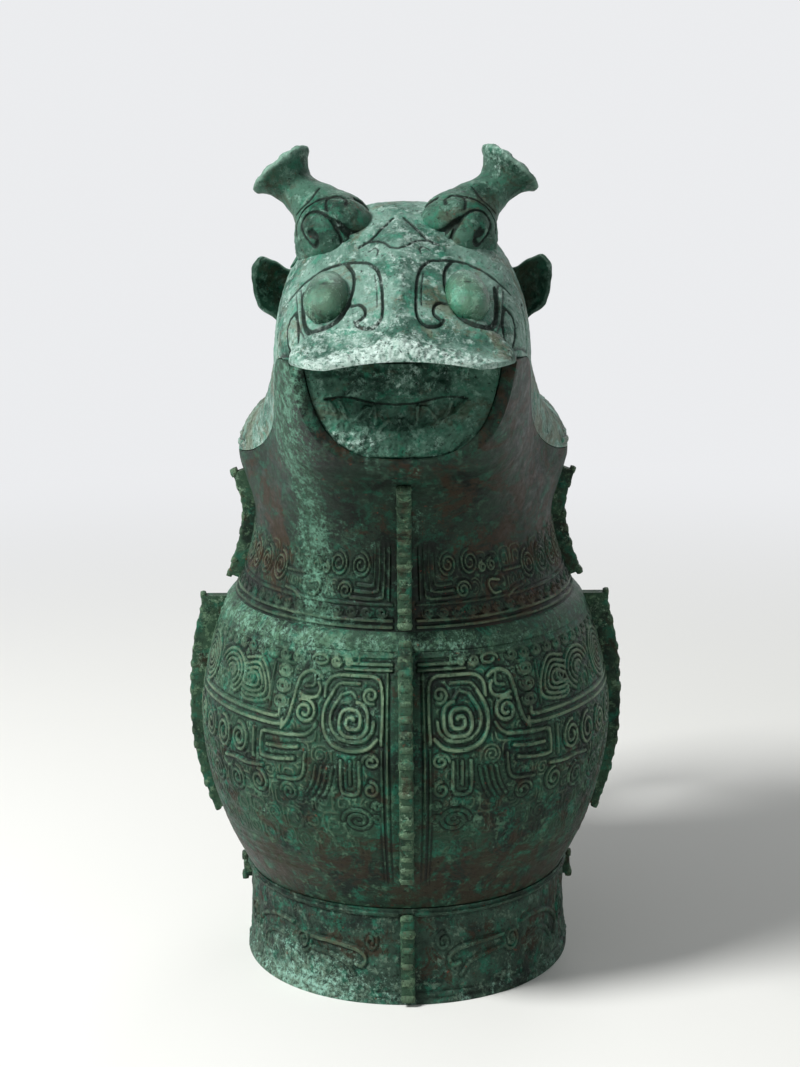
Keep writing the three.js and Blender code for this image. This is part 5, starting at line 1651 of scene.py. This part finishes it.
def makeBeast():
    t = np.linspace(0, 1, beast["steps"])[:, None]
    turn = np.linspace(-math.pi, math.pi, beast["around"], endpoint=False)[None, :]
    halfWidth = through([(0, 11.3), (0.35, 13.5), (0.7, 9.2), (0.9, 9.7), (1, 7)])(t)
    halfHeight = through([(0, 9.9), (0.35, 11), (0.7, 7.9), (1, 5.3)])(t)
    x = halfWidth * power(np.cos(turn), 0.85)
    rise = halfHeight * power(np.sin(turn), 0.85)
    along = beast["length"] * t
    y = beast["start"] + along + 0 * turn
    rings = np.stack([x, y, beast["level"] - beast["fall"] * t * t + rise], axis=-1)
    fromTop = np.degrees(np.mod(turn + math.pi / 2, 2 * math.pi) - math.pi) / 4
    tone = readSheet(drawBeast(), asHeight, fromTop, along)
    rings = rings + unitOf(np.stack([x, 0 * x, rise], axis=-1)) * (tone + castSkin(rings, 1.3))[..., None]
    parts = [(*tube(rings), tubeValues(tone))]

    def add(points, quads, triangles, relief=0.0):
        parts.append((points, quads, triangles, np.full(len(points), relief)))

    for hand, side in hands:
        # eye, curled horn with its rings, and ear
        unit, quads, triangles = ball(36, 22)
        add(unit * [3.4, 4.2, 3.0] + [side * 8.2, 81.5, 170.4], quads, triangles)
        rings = rodAlong([(side * 5, 72, 172), (side * 13, 70, 175.4), (side * 19.6, 71, 178),
                          (side * 21.4, 74, 183), (side * 17.4, 76.6, 186), (side * 13.6, 76.6, 183.4)],
                         [(0, 4.2), (0.5, 3.6), (0.85, 2.2), (1, 0.6)])
        add(*tube(rings + 0.35 * np.sin(np.linspace(0, 60, len(rings)))[:, None, None] * [0, 0, 1.0]), 0.12)
        add(*tube(rodAlong([(side * 11, 70, 166), (side * 16, 69.4, 167), (side * 21, 68, 169.6)],
                           [(0, 3.2), (0.45, 3.8), (1, 0.4)], 28, 40, 0.5)))
    dress(joined("beast_head_bronze", parts, 50), bodyBronze, "vessel", ["handle_beast_head"])


makeBeast()


def makeSpur():
    # a hooked plate with rounded edges
    root = [handle["root"] + spur["reach"] * math.cos(spur["turn"]) ** 0.75,
            spur["middle"] - spur["half"] * math.sin(spur["turn"]) ** 0.9]
    loop = [(-9, -3), (-4.6, -8), (-2.2, -13.6), (-2.6, -19.6), (-0.6, -23.6), (3.4, -24), (6.2, -21.4),
            (6.4, -17), (8, -11), (8.4, -4), (6.8, 3), (-2, 2)]
    loop = alongArc(smoothLine(loop + loop[:1], 0.4), spur["around"] + 1)[:-1]
    centre = loop.mean(0)
    rings = []
    for x, scale in ((-3, 0.3), (-3, 0.7), (-2.9, 0.86), (-2.3, 0.96), (-1, 1), (1, 1), (2.3, 0.96),
                     (2.9, 0.86), (3, 0.7), (3, 0.3)):
        flat = centre + (loop - centre) * scale + root
        rings.append(np.stack([np.full(len(flat), x), flat[:, 0], flat[:, 1]], axis=1))
    points, quads, triangles = tube(np.array(rings))
    points = points + 0.4 * (grain(points, 2.4, 2)[:, None] - 0.5)
    made = meshFrom("handle_spur_bronze", points, quads, triangles, np.zeros(len(points)), 60)
    dress(made, bodyBronze, "vessel", ["handle_spur"])


makeSpur()
print("handle made")


# The locating tongue stays as the part has it
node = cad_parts["lid_tongue"]
node.data.materials.clear()
node.data.materials.append(insideBronze)


# Floor, light and camera

studio = {"floor": (232, 232, 228), "keyPower": 24, "fillPower": 1.2, "rimPower": 3, "sky": 0.24,
          "paper": 0.86, "skyColour": (0.9, 0.93, 0.95, 1), "paperColour": (0.97, 0.98, 1, 1),
          "halfWidth": 60, "rear": 200, "darker": 0.97, "fadeFrom": 0.25, "fadeTo": 0.9}


def makeStage():
    wide = studio["halfWidth"]
    points = np.array([[x, y, 0] for y in (-wide, studio["rear"]) for x in (-wide, wide)]) / mm
    made = meshFrom("studio_floor", points, [[0, 1, 3, 2]], np.zeros((0, 3), int))
    material, n = newMaterial("studio_paper")
    place = n.add("ShaderNodeTexCoord").outputs["Object"]
    light = paint(*studio["floor"])
    low = tuple(c * studio["darker"] for c in light[:3]) + (1,)
    surface = n.add("ShaderNodeBsdfPrincipled", Base_Color=n.mix(n.noise(place, 3, 2, 0.5), low, light),
                    Roughness=0.9)
    glow = n.add("ShaderNodeEmission", Color=studio["paperColour"], Strength=studio["paper"])
    away = n.add("ShaderNodeVectorMath", {"operation": "LENGTH"}, i0=place).outputs["Value"]
    share = n.share(n.ramp(away, studio["fadeFrom"], studio["fadeTo"]), n.seenRay())
    both = n.add("ShaderNodeMixShader", i0=share, i1=surface.outputs[0], i2=glow.outputs[0])
    n.add("ShaderNodeOutputMaterial", Surface=both.outputs[0])
    made.data.materials.append(material)


def addLight(name, place, size, power):
    # a round lamp that faces the middle of the vessel
    data = bpy.data.lights.new(name, "AREA")
    data.shape = "DISK"
    data.size = size
    data.energy = power
    lamp = placed(name, data)
    lamp.location = place
    lamp.rotation_mode = "QUATERNION"
    lamp.rotation_quaternion = (Vector((0, 0, 0.14)) - Vector(place)).to_track_quat("-Z", "Y")


def makeWorld():
    world = bpy.data.worlds.new("studio_air")
    bpy.context.scene.world = world
    world.use_nodes = True
    n = Nodes(world.node_tree)
    sky = n.tree.nodes["Background"]
    n.plug(sky, "Color", studio["skyColour"])
    n.plug(sky, "Strength", studio["sky"])
    backdrop = n.add("ShaderNodeBackground", Color=studio["paperColour"], Strength=studio["paper"])
    choice = n.add("ShaderNodeMixShader", i0=n.seenRay(), i1=sky.outputs[0], i2=backdrop.outputs[0])
    n.plug(n.tree.nodes["World Output"], "Surface", choice.outputs[0])


makeStage()
addLight("key_light", (-0.82, -0.5, 1.02), 0.45, studio["keyPower"])
addLight("fill_light", (0.95, -0.9, 0.6), 0.9, studio["fillPower"])
addLight("rim_light", (0.35, 1.0, 0.95), 0.6, studio["rimPower"])
makeWorld()

# the photo's own view; focal and centreU are in its pixels
view = {"pitch": 12, "distance": 0.865, "height": 0.328, "focal": 2600, "centreU": 404, "roll": 0.5,
        "wide": 800, "tall": 1067, "sensor": 36}
lens = bpy.data.cameras.new("photo_camera")
lens.sensor_fit = "VERTICAL"
lens.sensor_width = view["sensor"]
lens.sensor_height = view["sensor"]
lens.lens = view["focal"] / view["tall"] * view["sensor"]
lens.shift_x = -(view["centreU"] - view["wide"] / 2) / view["tall"]
lens.clip_start = 0.05
lens.clip_end = 900
camera = placed("photo_camera", lens)
camera.location = (0, -view["distance"], view["height"])
pitch = math.radians(view["pitch"])
forward = Vector((0, math.cos(pitch), -math.sin(pitch)))
camera.rotation_mode = "QUATERNION"
camera.rotation_quaternion = Quaternion(forward, math.radians(view["roll"])) @ forward.to_track_quat("-Z", "Y")
bpy.context.scene.camera = camera
bpy.context.scene.view_settings.view_transform = "Standard"
print("stage set")
